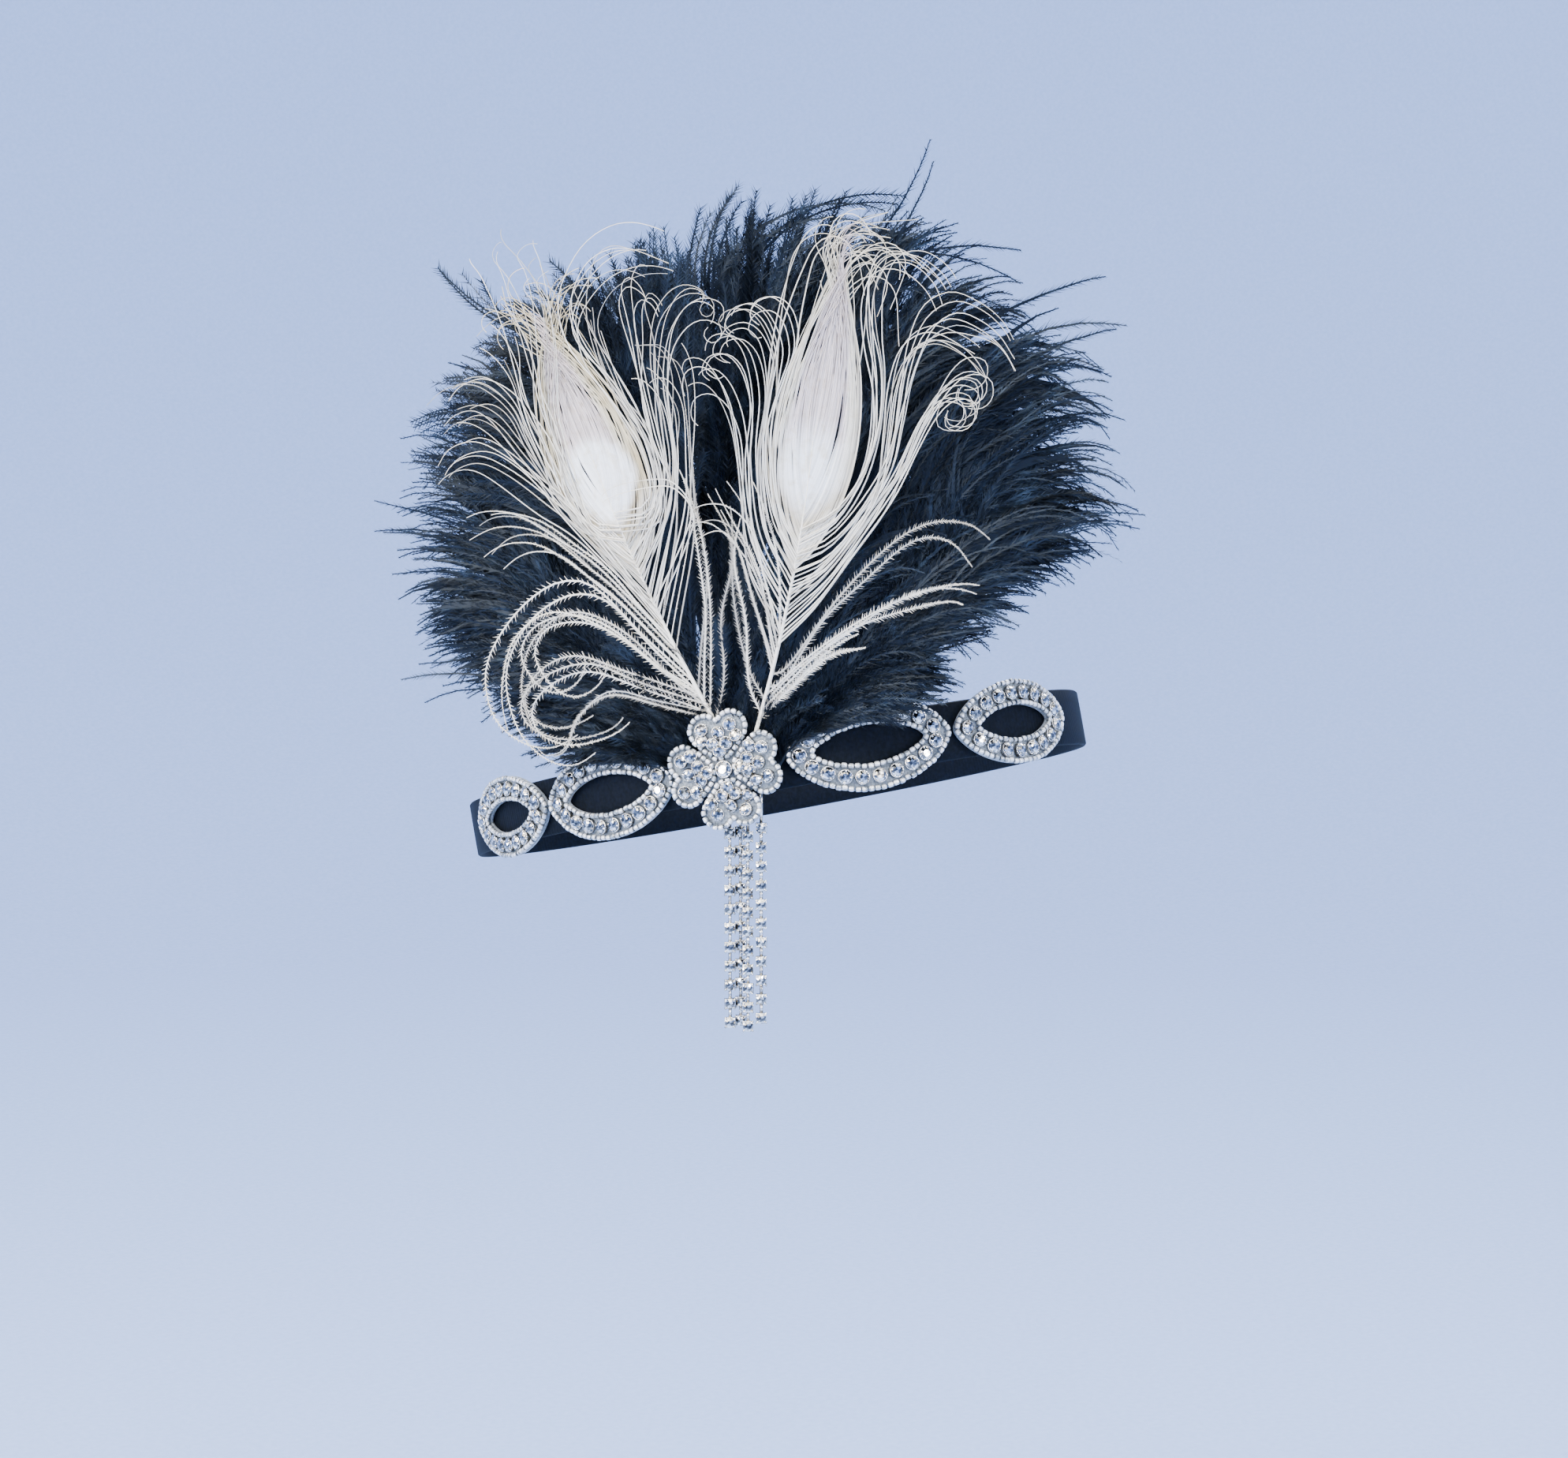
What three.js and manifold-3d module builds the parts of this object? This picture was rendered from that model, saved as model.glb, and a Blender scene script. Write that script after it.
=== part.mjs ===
// A 1920s style headband as it is worn: a black elastic loop, rhinestone and bead trim sewn on its front,
// a flower brooch over one temple with four short rhinestone chains, and black ostrich plumes with two
// bleached peacock eyes fanned out behind the brooch.
// Millimetres. +Z is up and the face looks along -Y. The origin is the middle of the loop.
// The loop is worn higher at the forehead than at the nape, so it is built level and then pitched.

import * as THREE from "three";
import { mergeVertices } from "three/addons/utils/BufferGeometryUtils.js";
import Module from "manifold-3d";

const wasm = await Module();
wasm.setup();

// Elastic loop
const loopWidth = 155; // inside, from temple to temple over the hair
const loopLength = 189; // inside, from forehead to nape
const bandThickness = 1.2;
const bandHeight = 15;
const bandSteps = 44;
const wornPitch = 15; // degrees, forehead up
const broochAngle = -143.7; // degrees, where the brooch sits on the loop's ellipse

// Rhinestones, each a table and a ring of facets
const stoneRadius = 1.7;
const stoneHeight = 1.9; // from the backing to the table
const tableShare = 0.56; // of the radius
const facets = 8;
const sunk = 0.3; // the rim lies this deep in the backing
const stonePitch = 4.35; // along a row of the trim

// Leaf-shaped trim, two leaves on each side of the brooch
const backing = 1.0;
const seat = 0.3; // clearance between a piece and what it lies on
const leafTip = 1.35; // above 1 the leaf's ends are pointed, at 1 it is an ellipse
const leafCorners = 20;
const nearLeaf = { length: 43.5, height: 24.5, holeLength: 28, holeHeight: 9.2 };
const farLeaf = { length: 41, height: 22.5, holeLength: 25, holeHeight: 8 };
const leafGap = 0.6;

// Flower brooch: four heart-shaped petals round a centre stone
const petals = 4;
const lobeRing = 10.4; // radius on which the two lobes of each petal lie
const lobeRadius = 4.4;
const lobeAngle = 19; // degrees, each side of the petal's middle
const heartRadius = 7.4; // disc that joins the petals
const lobeCorners = 10;
const centreStoneRadius = 2.2;
const petalStones = [
  { ring: 1.05, side: 1 },
  { ring: 1.05, side: -1 },
  { ring: 0.885, side: 0 },
  { ring: 0.615, side: 1.1 },
  { ring: 0.615, side: -1.1 },
]; // ring is a share of lobeRing, side a share of lobeAngle

// Rhinestone chains below the brooch
const chainStoneRadius = 1.45;
const chainStoneDepth = 1.7;
const chainPitch = 4.97;
const chainStones = 11;
const chainBarWidth = 0.6;
const chainBarThickness = 0.5;
const chainTop = -6; // height on the band where the chains are sewn on
const chainLead = 10.6; // from there to the first stone
const chains = [
  { name: "chain_1", across: -0.4, drop: 0, row: 1 },
  { name: "chain_2", across: 1.8, drop: 0, row: 0 },
  { name: "chain_3", across: 4.4, drop: 0.35, row: 1 },
  { name: "chain_4", across: 7.9, drop: 0.05, row: 1 },
]; // across is the place along the band, drop a share of chainPitch, row 0 on the band and 1 on the brooch's back

// Feather fan. Each feather has a layer of its own, and the layers open like a hand of cards.
const fanYaw = 42; // degrees from the face's front towards the brooch's side
const fanStart = 18; // the feathers lie flat on the band out to this radius
const layerStep = 0.07; // depth between two layers, as a share of the radius past fanStart
const fanLean = -0.09; // of the first layer, against the upright
const fanTurn = 0.28; // the fan's side over the forehead stands this much forward
const fanWrap = 260; // radius to which the fan bends round the head
const quill = 1.2;
const quillStep = 3.0; // between two quills behind the brooch
const quillFoot = -4; // their lower ends, below the brooch's centre
const thinnest = 0.5;

// Ostrich plumes: tapered locks along a quill
const plumeLength = 150;
const lockLength = 48;
const lockWidth = 14;
const lockOpen = { root: 48, tip: 26 }; // degrees between quill and lock, low on the plume and at its tip
const lockBend = { start: 0.55, end: 1.5 }; // a lock's first and last heading, as shares of that angle
const lockShape = [0.45, 0.86, 0.08]; // its width at the root, the middle and the tip, as shares
const lockFill = 0.6; // its thickness, as a share of the layer's
const lockShift = 0.1; // locks lie this share to the front or the back in turn
const firstLock = 22; // the lowest lock leaves the quill this far past fanStart
const wispWidth = 2.6;
const plumes = [
  { name: "plume_low_left", layer: 0, start: -64, end: -78, reach: 0.42, locks: 8, lock: 0.6 },
  { name: "plume_left", layer: 1, start: -44, end: -60, reach: 0.53, locks: 9, lock: 0.78 },
  { name: "plume_high_left", layer: 2, start: -22, end: -20, reach: 0.78, locks: 10, lock: 0.85 },
  { name: "plume_top", layer: 0, start: -6, end: 15, reach: 0.8, locks: 10, lock: 0.9, wisp: [74, 70] },
  { name: "plume_high_right", layer: 1, start: 14, end: 48, reach: 0.83, locks: 10, lock: 0.9, wisp: [0, 44] },
  { name: "plume_right", layer: 2, start: 30, end: 70, reach: 0.66, locks: 10, lock: 0.9 },
  { name: "plume_low_right", layer: 3, start: 30, end: 80, reach: 0.37, locks: 6, lock: 0.5 },
]; // start, end and wisp[0] are headings in degrees from the upright, reach and lock are shares, wisp[1] is a length

// Peacock feathers: a stem with an eye, long barbs round it and loose herls below them
const eyeWidth = 16;
const eyeHeight = 21;
const eyeDrop = 0.22; // the eye is this share narrower above its middle and wider below it
const eyeCorners = 14;
const eyeThickness = 1.6;
const stemPastEye = 12;
const barbSpread = 26; // degrees between the stem and the outermost barbs where they leave it
const barbCurl = 22; // degrees by which those bend outwards towards their ends
const barbRoot = 34; // they leave the stem this far below the eye
const barbStretch = 0.42; // they are this share longer than the middle one
const barbWidth = 6;
const barbShape = [0.4, 0.8, 0.5]; // width at the root, the middle and the tip, as shares
const herlWidth = 2.6;
const herlRoot = 13; // the herls leave the stem from here, above its foot
const herlStretch = 20;
const eyeFeathers = [
  {
    name: "peacock_left", layer: 3, foot: [-1.6, 8], start: -30, end: -22, stem: 70,
    barbs: 13, barb: 50, lean: -4, herls: [
      { side: -1, count: 5, from: 26, to: 150, length: 40 },
      { side: 1, count: 3, from: 24, to: 70, length: 26 },
    ],
  },
  {
    name: "peacock_right", layer: 4, foot: [6, 8], start: 16, end: 6, stem: 69,
    barbs: 13, barb: 56, lean: 12, herls: [
      { side: -1, count: 3, from: 18, to: 44, length: 24 },
      { side: 1, count: 4, from: 22, to: 52, length: 48 },
    ],
  },
]; // stem is the length up to the eye; lean, from and to are degrees from the stem's heading

const rad = THREE.MathUtils.degToRad;

// Loop

const outerHalfWidth = loopWidth / 2 + bandThickness;
const outerHalfLength = loopLength / 2 + bandThickness;

// Places on the band's outer face are found by their distance along it from the brooch's centre.
const loopTable = (() => {
  const rows = [];
  const count = 1440;
  let run = 0;
  let last = null;
  for (let i = 0; i <= count; i++) {
    const angle = rad(broochAngle) + ((i - count / 2) / count) * 2 * Math.PI;
    const x = outerHalfWidth * Math.cos(angle);
    const y = outerHalfLength * Math.sin(angle);
    if (last) run += Math.hypot(x - last.x, y - last.y);
    last = { x, y };
    rows.push({ angle, run });
  }
  return rows;
})();
const loopRun = loopTable.at(-1).run;

// A place on the band before it is pitched: along it from the brooch's centre, up across it, and out from its face.
function onLoop(along, up, out) {
  const wanted = THREE.MathUtils.euclideanModulo(along + loopRun / 2, loopRun);
  let low = 0;
  let high = loopTable.length - 1;
  while (high - low > 1) {
    const middle = (low + high) >> 1;
    if (loopTable[middle].run <= wanted) low = middle;
    else high = middle;
  }
  const share = (wanted - loopTable[low].run) / (loopTable[high].run - loopTable[low].run);
  const angle = THREE.MathUtils.lerp(loopTable[low].angle, loopTable[high].angle, share);
  const normal = new THREE.Vector2(
    Math.cos(angle) / outerHalfWidth,
    Math.sin(angle) / outerHalfLength,
  ).normalize();
  return new THREE.Vector3(
    outerHalfWidth * Math.cos(angle) + normal.x * out,
    outerHalfLength * Math.sin(angle) + normal.y * out,
    up,
  );
}

const pitch = new THREE.Euler(-rad(wornPitch), 0, 0);
const worn = (along, up, out) => onLoop(along, up, out).applyEuler(pitch);

// Fan

const fanOut = new THREE.Vector3(-Math.sin(rad(fanYaw)), -Math.cos(rad(fanYaw)), 0);
const fanAcross = new THREE.Vector3(Math.cos(rad(fanYaw)), -Math.sin(rad(fanYaw)), 0);
const fanUp = new THREE.Vector3(0, 0, 1);
const fanOrigin = worn(0, 0, 0);
const wall = new THREE.Vector3().crossVectors(
  worn(1, 0, 0).sub(worn(-1, 0, 0)),
  worn(0, 1, 0).sub(worn(0, -1, 0)),
);
const wallSlope = {
  across: -wall.dot(fanAcross) / wall.dot(fanOut),
  up: -wall.dot(fanUp) / wall.dot(fanOut),
};

// The depth between two layers at a radius.
const layerDepth = (radius) => layerStep * Math.max(0, radius - fanStart);

// A place in the fan: across and up from the brooch's centre, in a layer, lifted from the layer's middle.
function inFan(across, up, feather, lift) {
  const radius = Math.hypot(across, up);
  const flat = Math.min(1, fanStart / Math.max(radius, 1e-6));
  const out =
    flat * (wallSlope.across * across + wallSlope.up * up) +
    feather.rise +
    feather.layer * layerDepth(radius) +
    fanLean * Math.max(0, radius - fanStart) +
    (1 - flat) * (fanTurn * across - across ** 2 / (2 * fanWrap)) +
    lift;
  return fanOrigin
    .clone()
    .addScaledVector(fanAcross, across)
    .addScaledVector(fanUp, up)
    .addScaledVector(fanOut, out);
}

// Solids

const tidy = 0.02; // flat faces closer than this to one plane are joined

// The solid of a closed geometry. Its shared corners are merged, and faces that this leaves without area go.
function solidOf(geometry) {
  const bare = geometry.clone();
  for (const name of Object.keys(bare.attributes)) if (name !== "position") bare.deleteAttribute(name);
  const merged = mergeVertices(bare, 1e-4);
  const index = merged.index.array;
  const kept = [];
  for (let i = 0; i < index.length; i += 3) {
    const [a, b, c] = index.slice(i, i + 3);
    if (a !== b && b !== c && c !== a) kept.push(a, b, c);
  }
  return new wasm.Manifold(
    new wasm.Mesh({
      numProp: 3,
      vertProperties: merged.attributes.position.array,
      triVerts: new Uint32Array(kept),
    }),
  );
}

const joined = (solids) => solids.reduce((sum, solid) => sum.add(solid)).simplify(tidy);

// The solid as a geometry, each vertex moved by place.
function geometryOf(solid, place = (x, y, z) => new THREE.Vector3(x, y, z)) {
  const mesh = solid.getMesh();
  const points = new Float32Array(mesh.numVert * 3);
  for (let i = 0; i < mesh.numVert; i++) {
    const [x, y, z] = mesh.vertProperties.subarray(i * mesh.numProp, i * mesh.numProp + 3);
    place(x, y, z).toArray(points, i * 3);
  }
  const geometry = new THREE.BufferGeometry();
  geometry.setAttribute("position", new THREE.BufferAttribute(points, 3));
  geometry.setIndex(new THREE.BufferAttribute(mesh.triVerts, 1));
  geometry.computeVertexNormals();
  return geometry;
}

// A flat plate of an outline, from z = low to z = high.
function plate(outline, low, high) {
  const shape = new THREE.Shape(outline);
  const geometry = new THREE.ExtrudeGeometry(shape, { depth: high - low, bevelEnabled: false });
  return solidOf(geometry.translate(0, 0, low));
}

const circle = (x, y, radius, corners) =>
  Array.from({ length: corners }, (_, i) => {
    const angle = ((i + 0.5) / corners) * 2 * Math.PI;
    return new THREE.Vector2(x + radius * Math.cos(angle), y + radius * Math.sin(angle));
  });

// A cut stone standing along +Z between two heights: its crown facets and table, from the rim of its cup up.
function cutStone(radius, rim, table) {
  const profile = [
    new THREE.Vector2(0, rim),
    new THREE.Vector2(radius, rim),
    new THREE.Vector2(radius * tableShare, table),
    new THREE.Vector2(0, table),
  ];
  return new THREE.LatheGeometry(profile, facets, Math.PI / facets).rotateX(Math.PI / 2);
}

// A strip along a flat path, made from a box: width and thickness follow the share t of its length.
function strip(path, steps, widthAt, thicknessAt, liftAt) {
  const box = new THREE.BoxGeometry(1, 1, 1, 1, steps, 1);
  const position = box.attributes.position;
  for (let i = 0; i < position.count; i++) {
    const t = position.getY(i) + 0.5;
    const point = path.getPointAt(t);
    const tangent = path.getTangentAt(t);
    const side = position.getX(i) * widthAt(t);
    position.setXYZ(
      i,
      point.x + tangent.y * side,
      point.y - tangent.x * side,
      liftAt(point) + position.getZ(i) * thicknessAt(point),
    );
  }
  return solidOf(box);
}

// A closed ring of rectangular sections. corner gives a section's corner from the share of the way round,
// 0 or 1 for its inner or outer side, and 0 or 1 for its lower or upper side.
function ring(sections, corner) {
  const profile = [[0, 0], [1, 0], [1, 1], [0, 1], [0, 0]];
  const lathe = new THREE.LatheGeometry(profile.map(([x, y]) => new THREE.Vector2(x + 1, y)), sections);
  const position = lathe.attributes.position;
  for (let i = 0; i < position.count; i++) {
    const section = Math.floor(i / profile.length) % sections;
    corner(section / sections, ...profile[i % profile.length]).toArray(position.array, i * 3);
  }
  return solidOf(lathe);
}

// Band

const band = () =>
  ring(bandSteps, (share, outer, upper) =>
    onLoop(share * loopRun, (upper - 0.5) * bandHeight, (outer - 1) * bandThickness),
  );

// Leaf trim

function leafPoint(length, height, share) {
  const sine = Math.sin(share * 2 * Math.PI);
  return new THREE.Vector2(
    (length / 2) * Math.cos(share * 2 * Math.PI),
    (height / 2) * Math.sign(sine) * Math.abs(sine) ** leafTip,
  );
}

function leaf({ length, height, holeLength, holeHeight }) {
  const frame = ring(leafCorners, (share, outer, upper) => {
    const point = outer ? leafPoint(length, height, share) : leafPoint(holeLength, holeHeight, share);
    return new THREE.Vector3(point.x, point.y, seat + upper * backing);
  });
  // The stones stand at equal distances along the middle of the frame.
  const middle = Array.from({ length: 97 }, (_, i) =>
    leafPoint((length + holeLength) / 2, (height + holeHeight) / 2, i / 96),
  );
  const row = new THREE.SplineCurve(middle);
  const count = Math.floor(row.getLength() / stonePitch);
  const stones = Array.from({ length: count }, (_, i) => {
    const point = row.getPointAt((i + 0.5) / count);
    const stone = cutStone(stoneRadius, seat + backing - sunk, seat + backing + stoneHeight);
    return solidOf(stone.translate(point.x, point.y, 0));
  });
  return joined([frame, ...stones]);
}

// Brooch. Behind it lie two rows of quills, the plumes' on the band and the peacock feathers' on those.

const quillRise = seat + quill / 2;
const frontQuillRise = quillRise + quill + seat;
const broochSeat = frontQuillRise + quill / 2 + seat;

function brooch() {
  const low = broochSeat;
  const high = low + backing;
  const solids = [plate(circle(0, 0, heartRadius, lobeCorners), low, high)];
  const onPetal = (petal, ring, angle) => {
    const direction = (petal / petals) * 2 * Math.PI + rad(angle);
    return new THREE.Vector2(ring * Math.cos(direction), ring * Math.sin(direction));
  };
  for (let petal = 0; petal < petals; petal++) {
    for (const side of [-1, 1]) {
      const centre = onPetal(petal, lobeRing, side * lobeAngle);
      solids.push(plate(circle(centre.x, centre.y, lobeRadius, lobeCorners), low, high));
    }
    for (const { ring, side } of petalStones) {
      const place = onPetal(petal, ring * lobeRing, side * lobeAngle);
      const stone = cutStone(stoneRadius, high - sunk, high + stoneHeight);
      solids.push(solidOf(stone.translate(place.x, place.y, 0)));
    }
  }
  solids.push(solidOf(cutStone(centreStoneRadius, high - sunk, high + stoneHeight)));
  return joined(solids);
}

// Chain: it hangs along -Z from its top, its stones facing -Y.
function chain(drop) {
  const lead = chainLead + drop * chainPitch;
  const length = lead + (chainStones - 1) * chainPitch;
  const bar = new THREE.BoxGeometry(chainBarWidth, chainBarThickness, length);
  const solids = [solidOf(bar.translate(0, 0, -length / 2))];
  for (let i = 0; i < chainStones; i++) {
    const stone = cutStone(chainStoneRadius, -chainStoneDepth / 2, chainStoneDepth / 2).rotateX(Math.PI / 2);
    solids.push(solidOf(stone.translate(0, 0, -lead - i * chainPitch)));
  }
  return joined(solids);
}

// Ostrich plumes

// A flat path that sets out at one heading and bends to another, in degrees from the upright.
// With a bend above 1 it turns mostly towards its end.
function bentPath(from, start, end, length, bend = 1) {
  const steps = 12;
  const points = [from.clone()];
  for (let i = 0; i < steps; i++) {
    const heading = rad(THREE.MathUtils.lerp(start, end, ((i + 0.5) / steps) ** bend));
    const step = new THREE.Vector2(Math.sin(heading), Math.cos(heading));
    points.push(points.at(-1).clone().addScaledVector(step, length / steps));
  }
  return new THREE.SplineCurve(points);
}

function headingOf(path, t) {
  const tangent = path.getTangentAt(t);
  return THREE.MathUtils.radToDeg(Math.atan2(tangent.x, tangent.y));
}

// A width that follows three shares along a strip: at its root, middle and tip.
const taper = (width, [root, middle, tip]) => (t) =>
  width * (root * (1 - t) * (1 - 2 * t) + middle * 4 * t * (1 - t) + tip * t * (2 * t - 1));

const quillStrip = (path, steps) => strip(path, steps, () => quill, () => quill, () => 0);

// A strip in a feather's layer, to the front or the back of its middle.
function layerStrip(path, steps, width, front) {
  const thickness = (point) => Math.max(thinnest, lockFill * layerDepth(point.length()));
  const lift = (point) => (front ? lockShift : -lockShift) * layerDepth(point.length());
  return strip(path, steps, width, thickness, lift);
}

const plumeBend = 1.4;

function plume(row, place) {
  const foot = new THREE.Vector2((place - (plumes.length - 1) / 2) * quillStep, quillFoot);
  const length = row.reach * plumeLength;
  const spine = bentPath(foot, row.start, row.end, length, plumeBend);
  const solids = [quillStrip(spine, 6)];
  for (let i = 0; i <= row.locks; i++) {
    const t = THREE.MathUtils.lerp((fanStart + firstLock) / length, 0.98, i / row.locks);
    const side = i === row.locks ? 0 : i % 2 ? 1 : -1;
    const open = side * THREE.MathUtils.lerp(lockOpen.root, lockOpen.tip, t);
    const full = Math.sin(Math.PI * (0.22 + 0.6 * t)) ** 0.6; // the locks are longest in the plume's middle
    const path = bentPath(
      spine.getPointAt(t),
      headingOf(spine, t) + open * lockBend.start,
      headingOf(spine, t) + open * lockBend.end,
      row.lock * lockLength * full,
    );
    solids.push(layerStrip(path, 2, taper(lockWidth, lockShape), i % 3 === 0));
  }
  if (row.wisp) {
    const [heading, reach] = row.wisp;
    const path = bentPath(spine.getPointAt(0.95), headingOf(spine, 0.95), heading, reach);
    solids.push(layerStrip(path, 3, taper(wispWidth, lockShape), true));
  }
  return { solid: joined(solids), feather: { layer: row.layer, rise: quillRise } };
}

// Peacock feathers

function eyeFeather(row) {
  const shaft = bentPath(new THREE.Vector2(...row.foot), row.start, row.end, row.stem + stemPastEye);
  const length = shaft.getLength();
  const eyeShare = row.stem / length;
  const heading = headingOf(shaft, eyeShare);
  const disc = Array.from({ length: eyeCorners }, (_, i) => {
    const angle = (i / eyeCorners) * 2 * Math.PI;
    const narrower = 1 - eyeDrop * Math.sin(angle);
    return new THREE.Vector2((eyeWidth / 2) * Math.cos(angle) * narrower, (eyeHeight / 2) * Math.sin(angle))
      .rotateAround(new THREE.Vector2(), -rad(heading))
      .add(shaft.getPointAt(eyeShare));
  });
  const solids = [quillStrip(shaft, 9), plate(disc, -eyeThickness / 2, eyeThickness / 2)];
  for (let i = 0; i < row.barbs; i++) {
    const across = THREE.MathUtils.lerp(-1, 1, i / (row.barbs - 1));
    const out = Math.abs(across);
    const path = bentPath(
      shaft.getPointAt(eyeShare - (out * barbRoot) / length),
      heading + across * barbSpread + row.lean * (1 - out),
      heading + across * (barbSpread + barbCurl) + row.lean,
      row.barb * (1 + barbStretch * out),
    );
    solids.push(layerStrip(path, 3, taper(barbWidth, barbShape), i % 2 > 0));
  }
  for (const herl of row.herls)
    for (let i = 0; i < herl.count; i++) {
      const share = (i + 0.5) / herl.count;
      const path = bentPath(
        shaft.getPointAt((herlRoot + share * herlStretch) / length),
        heading + herl.side * herl.from,
        heading + herl.side * herl.to * (1 - 0.3 * share), // the higher ones bend less
        herl.length * (0.85 + 0.15 * Math.sin(2.4 * i)),
      );
      solids.push(layerStrip(path, 3, taper(herlWidth, barbShape), i % 2 > 0));
    }
  return { solid: joined(solids), feather: { layer: row.layer, rise: frontQuillRise } };
}

// Assembly

const colours = {
  elastic: { color: 0x101116, roughness: 0.75, metalness: 0 },
  rhinestone: { color: 0xe6eaee, roughness: 0.15, metalness: 0.6 },
  silver: { color: 0xd5d8dc, roughness: 0.25, metalness: 0.9 },
  ostrich: { color: 0x14161c, roughness: 0.85, metalness: 0 },
  peacock: { color: 0xefe6d4, roughness: 0.7, metalness: 0 },
};

function named(name, geometry, finish) {
  const mesh = new THREE.Mesh(geometry, new THREE.MeshStandardMaterial(colours[finish]));
  mesh.name = name;
  return mesh;
}

const headband = new THREE.Group();
const loop = new THREE.Group();
loop.rotation.copy(pitch);
headband.add(loop);

loop.add(named("band", geometryOf(band()), "elastic"));

const broochReach = lobeRing * Math.cos(rad(lobeAngle)) + lobeRadius;
for (const side of [-1, 1]) {
  const word = side < 0 ? "left" : "right";
  const near = broochReach + leafGap + nearLeaf.length / 2;
  const far = near + nearLeaf.length / 2 + leafGap + farLeaf.length / 2;
  for (const [name, size, along] of [
    ["near_leaf_" + word, nearLeaf, near],
    ["far_leaf_" + word, farLeaf, far],
  ]) {
    const place = (x, y, z) => onLoop(side * along + x, y, z);
    loop.add(named(name, geometryOf(leaf(size), place), "rhinestone"));
  }
}
// The brooch is rigid and flat, so it touches the loop's curve with its middle.
const pin = named("brooch", geometryOf(brooch()), "rhinestone");
const pinAlong = onLoop(1, 0, 0).sub(onLoop(-1, 0, 0)).normalize();
const pinUp = new THREE.Vector3(0, 0, 1);
pin.applyMatrix4(new THREE.Matrix4().makeBasis(pinAlong, pinUp, pinAlong.clone().cross(pinUp)));
pin.position.copy(onLoop(0, 0, 0));
loop.add(pin);

for (const { name, across, drop, row } of chains) {
  const strand = named(name, geometryOf(chain(drop)), "silver");
  const out = row ? broochSeat - seat - chainBarThickness / 2 : 1.5 * seat + chainBarThickness / 2;
  strand.position.copy(worn(across, chainTop, out));
  strand.rotation.z = -rad(fanYaw);
  headband.add(strand);
}

plumes.forEach((row, place) => {
  const { solid, feather } = plume(row, place);
  const geometry = geometryOf(solid, (x, y, z) => inFan(x, y, feather, z));
  headband.add(named(row.name, geometry, "ostrich"));
});

for (const row of eyeFeathers) {
  const { solid, feather } = eyeFeather(row);
  const geometry = geometryOf(solid, (x, y, z) => inFan(x, y, feather, z));
  headband.add(named(row.name, geometry, "peacock"));
}

export default headband;
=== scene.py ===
# Feather headband in 1920s style: the looks of every piece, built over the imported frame.
# Lengths in the dictionaries are millimetres and angles are degrees, unless a note says otherwise.

import math

import bpy
import numpy as np
from mathutils import Matrix, Vector


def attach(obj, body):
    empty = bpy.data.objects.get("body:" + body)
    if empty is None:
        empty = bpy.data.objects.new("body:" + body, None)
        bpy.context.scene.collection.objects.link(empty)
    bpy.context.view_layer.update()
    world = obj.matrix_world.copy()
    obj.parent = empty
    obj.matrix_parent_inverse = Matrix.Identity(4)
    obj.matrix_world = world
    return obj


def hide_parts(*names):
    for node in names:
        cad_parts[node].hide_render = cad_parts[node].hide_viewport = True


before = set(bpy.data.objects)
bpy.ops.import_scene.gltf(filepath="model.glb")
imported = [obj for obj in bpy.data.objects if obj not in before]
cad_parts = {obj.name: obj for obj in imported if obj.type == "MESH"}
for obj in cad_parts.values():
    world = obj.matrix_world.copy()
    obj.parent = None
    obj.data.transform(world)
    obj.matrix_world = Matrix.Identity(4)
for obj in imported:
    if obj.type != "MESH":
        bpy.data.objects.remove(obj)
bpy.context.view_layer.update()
print("frame loaded,", len(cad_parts), "nodes")

mm = 0.001
random = np.random.default_rng(1926)


# Places on the loop and in the fan, the same as in the frame

loop = {
    "halfWidth": 78.7,  # outer face, temple to temple
    "halfLength": 95.7,  # outer face, forehead to nape
    "thickness": 1.2,
    "height": 15.0,
    "pitch": 15.0,  # forehead up
    "broochAngle": -143.7,
}
stack = {"seat": 0.3, "quill": 1.2, "backing": 1.0}  # what lies on the band, from its face outwards
fan = {
    "yaw": 42.0,
    "start": 18.0,  # the feathers lie flat out to this radius
    "layerStep": 0.07,  # depth between two layers, as a share of the radius past start
    "lean": -0.09,  # of the first layer, against the upright
    "turn": 0.28,  # the side over the forehead stands this much forward
    "wrap": 260.0,  # radius of the bend round the head
}


def runAlong(path):
    # the length of a flat path up to each of its points
    return np.concatenate([[0], np.cumsum(np.linalg.norm(np.diff(path, axis=0), axis=1))])


pitchTurn = math.radians(loop["pitch"])
loopAngles = math.radians(loop["broochAngle"]) + np.linspace(-math.pi, math.pi, 2881)
loopPath = np.stack([loop["halfWidth"] * np.cos(loopAngles), loop["halfLength"] * np.sin(loopAngles)], 1)
loopRun = runAlong(loopPath)
loopLength = loopRun[-1]


def pitched(points):
    x, y, z = points[..., 0], points[..., 1], points[..., 2]
    cosine, sine = math.cos(pitchTurn), math.sin(pitchTurn)
    return np.stack([x, y * cosine + z * sine, z * cosine - y * sine], -1)


def onLoop(along, up, out):
    # along the band from the brooch's centre, up across it, and out from its outer face
    along, up, out = np.broadcast_arrays(*(np.asarray(value, float) for value in (along, up, out)))
    angle = np.interp((along + loopLength / 2) % loopLength, loopRun, loopAngles)
    normal = np.stack([np.cos(angle) / loop["halfWidth"], np.sin(angle) / loop["halfLength"]], -1)
    normal /= np.linalg.norm(normal, axis=-1, keepdims=True)
    x = loop["halfWidth"] * np.cos(angle) + normal[..., 0] * out
    y = loop["halfLength"] * np.sin(angle) + normal[..., 1] * out
    return pitched(np.stack([x, y, up], -1))


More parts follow.
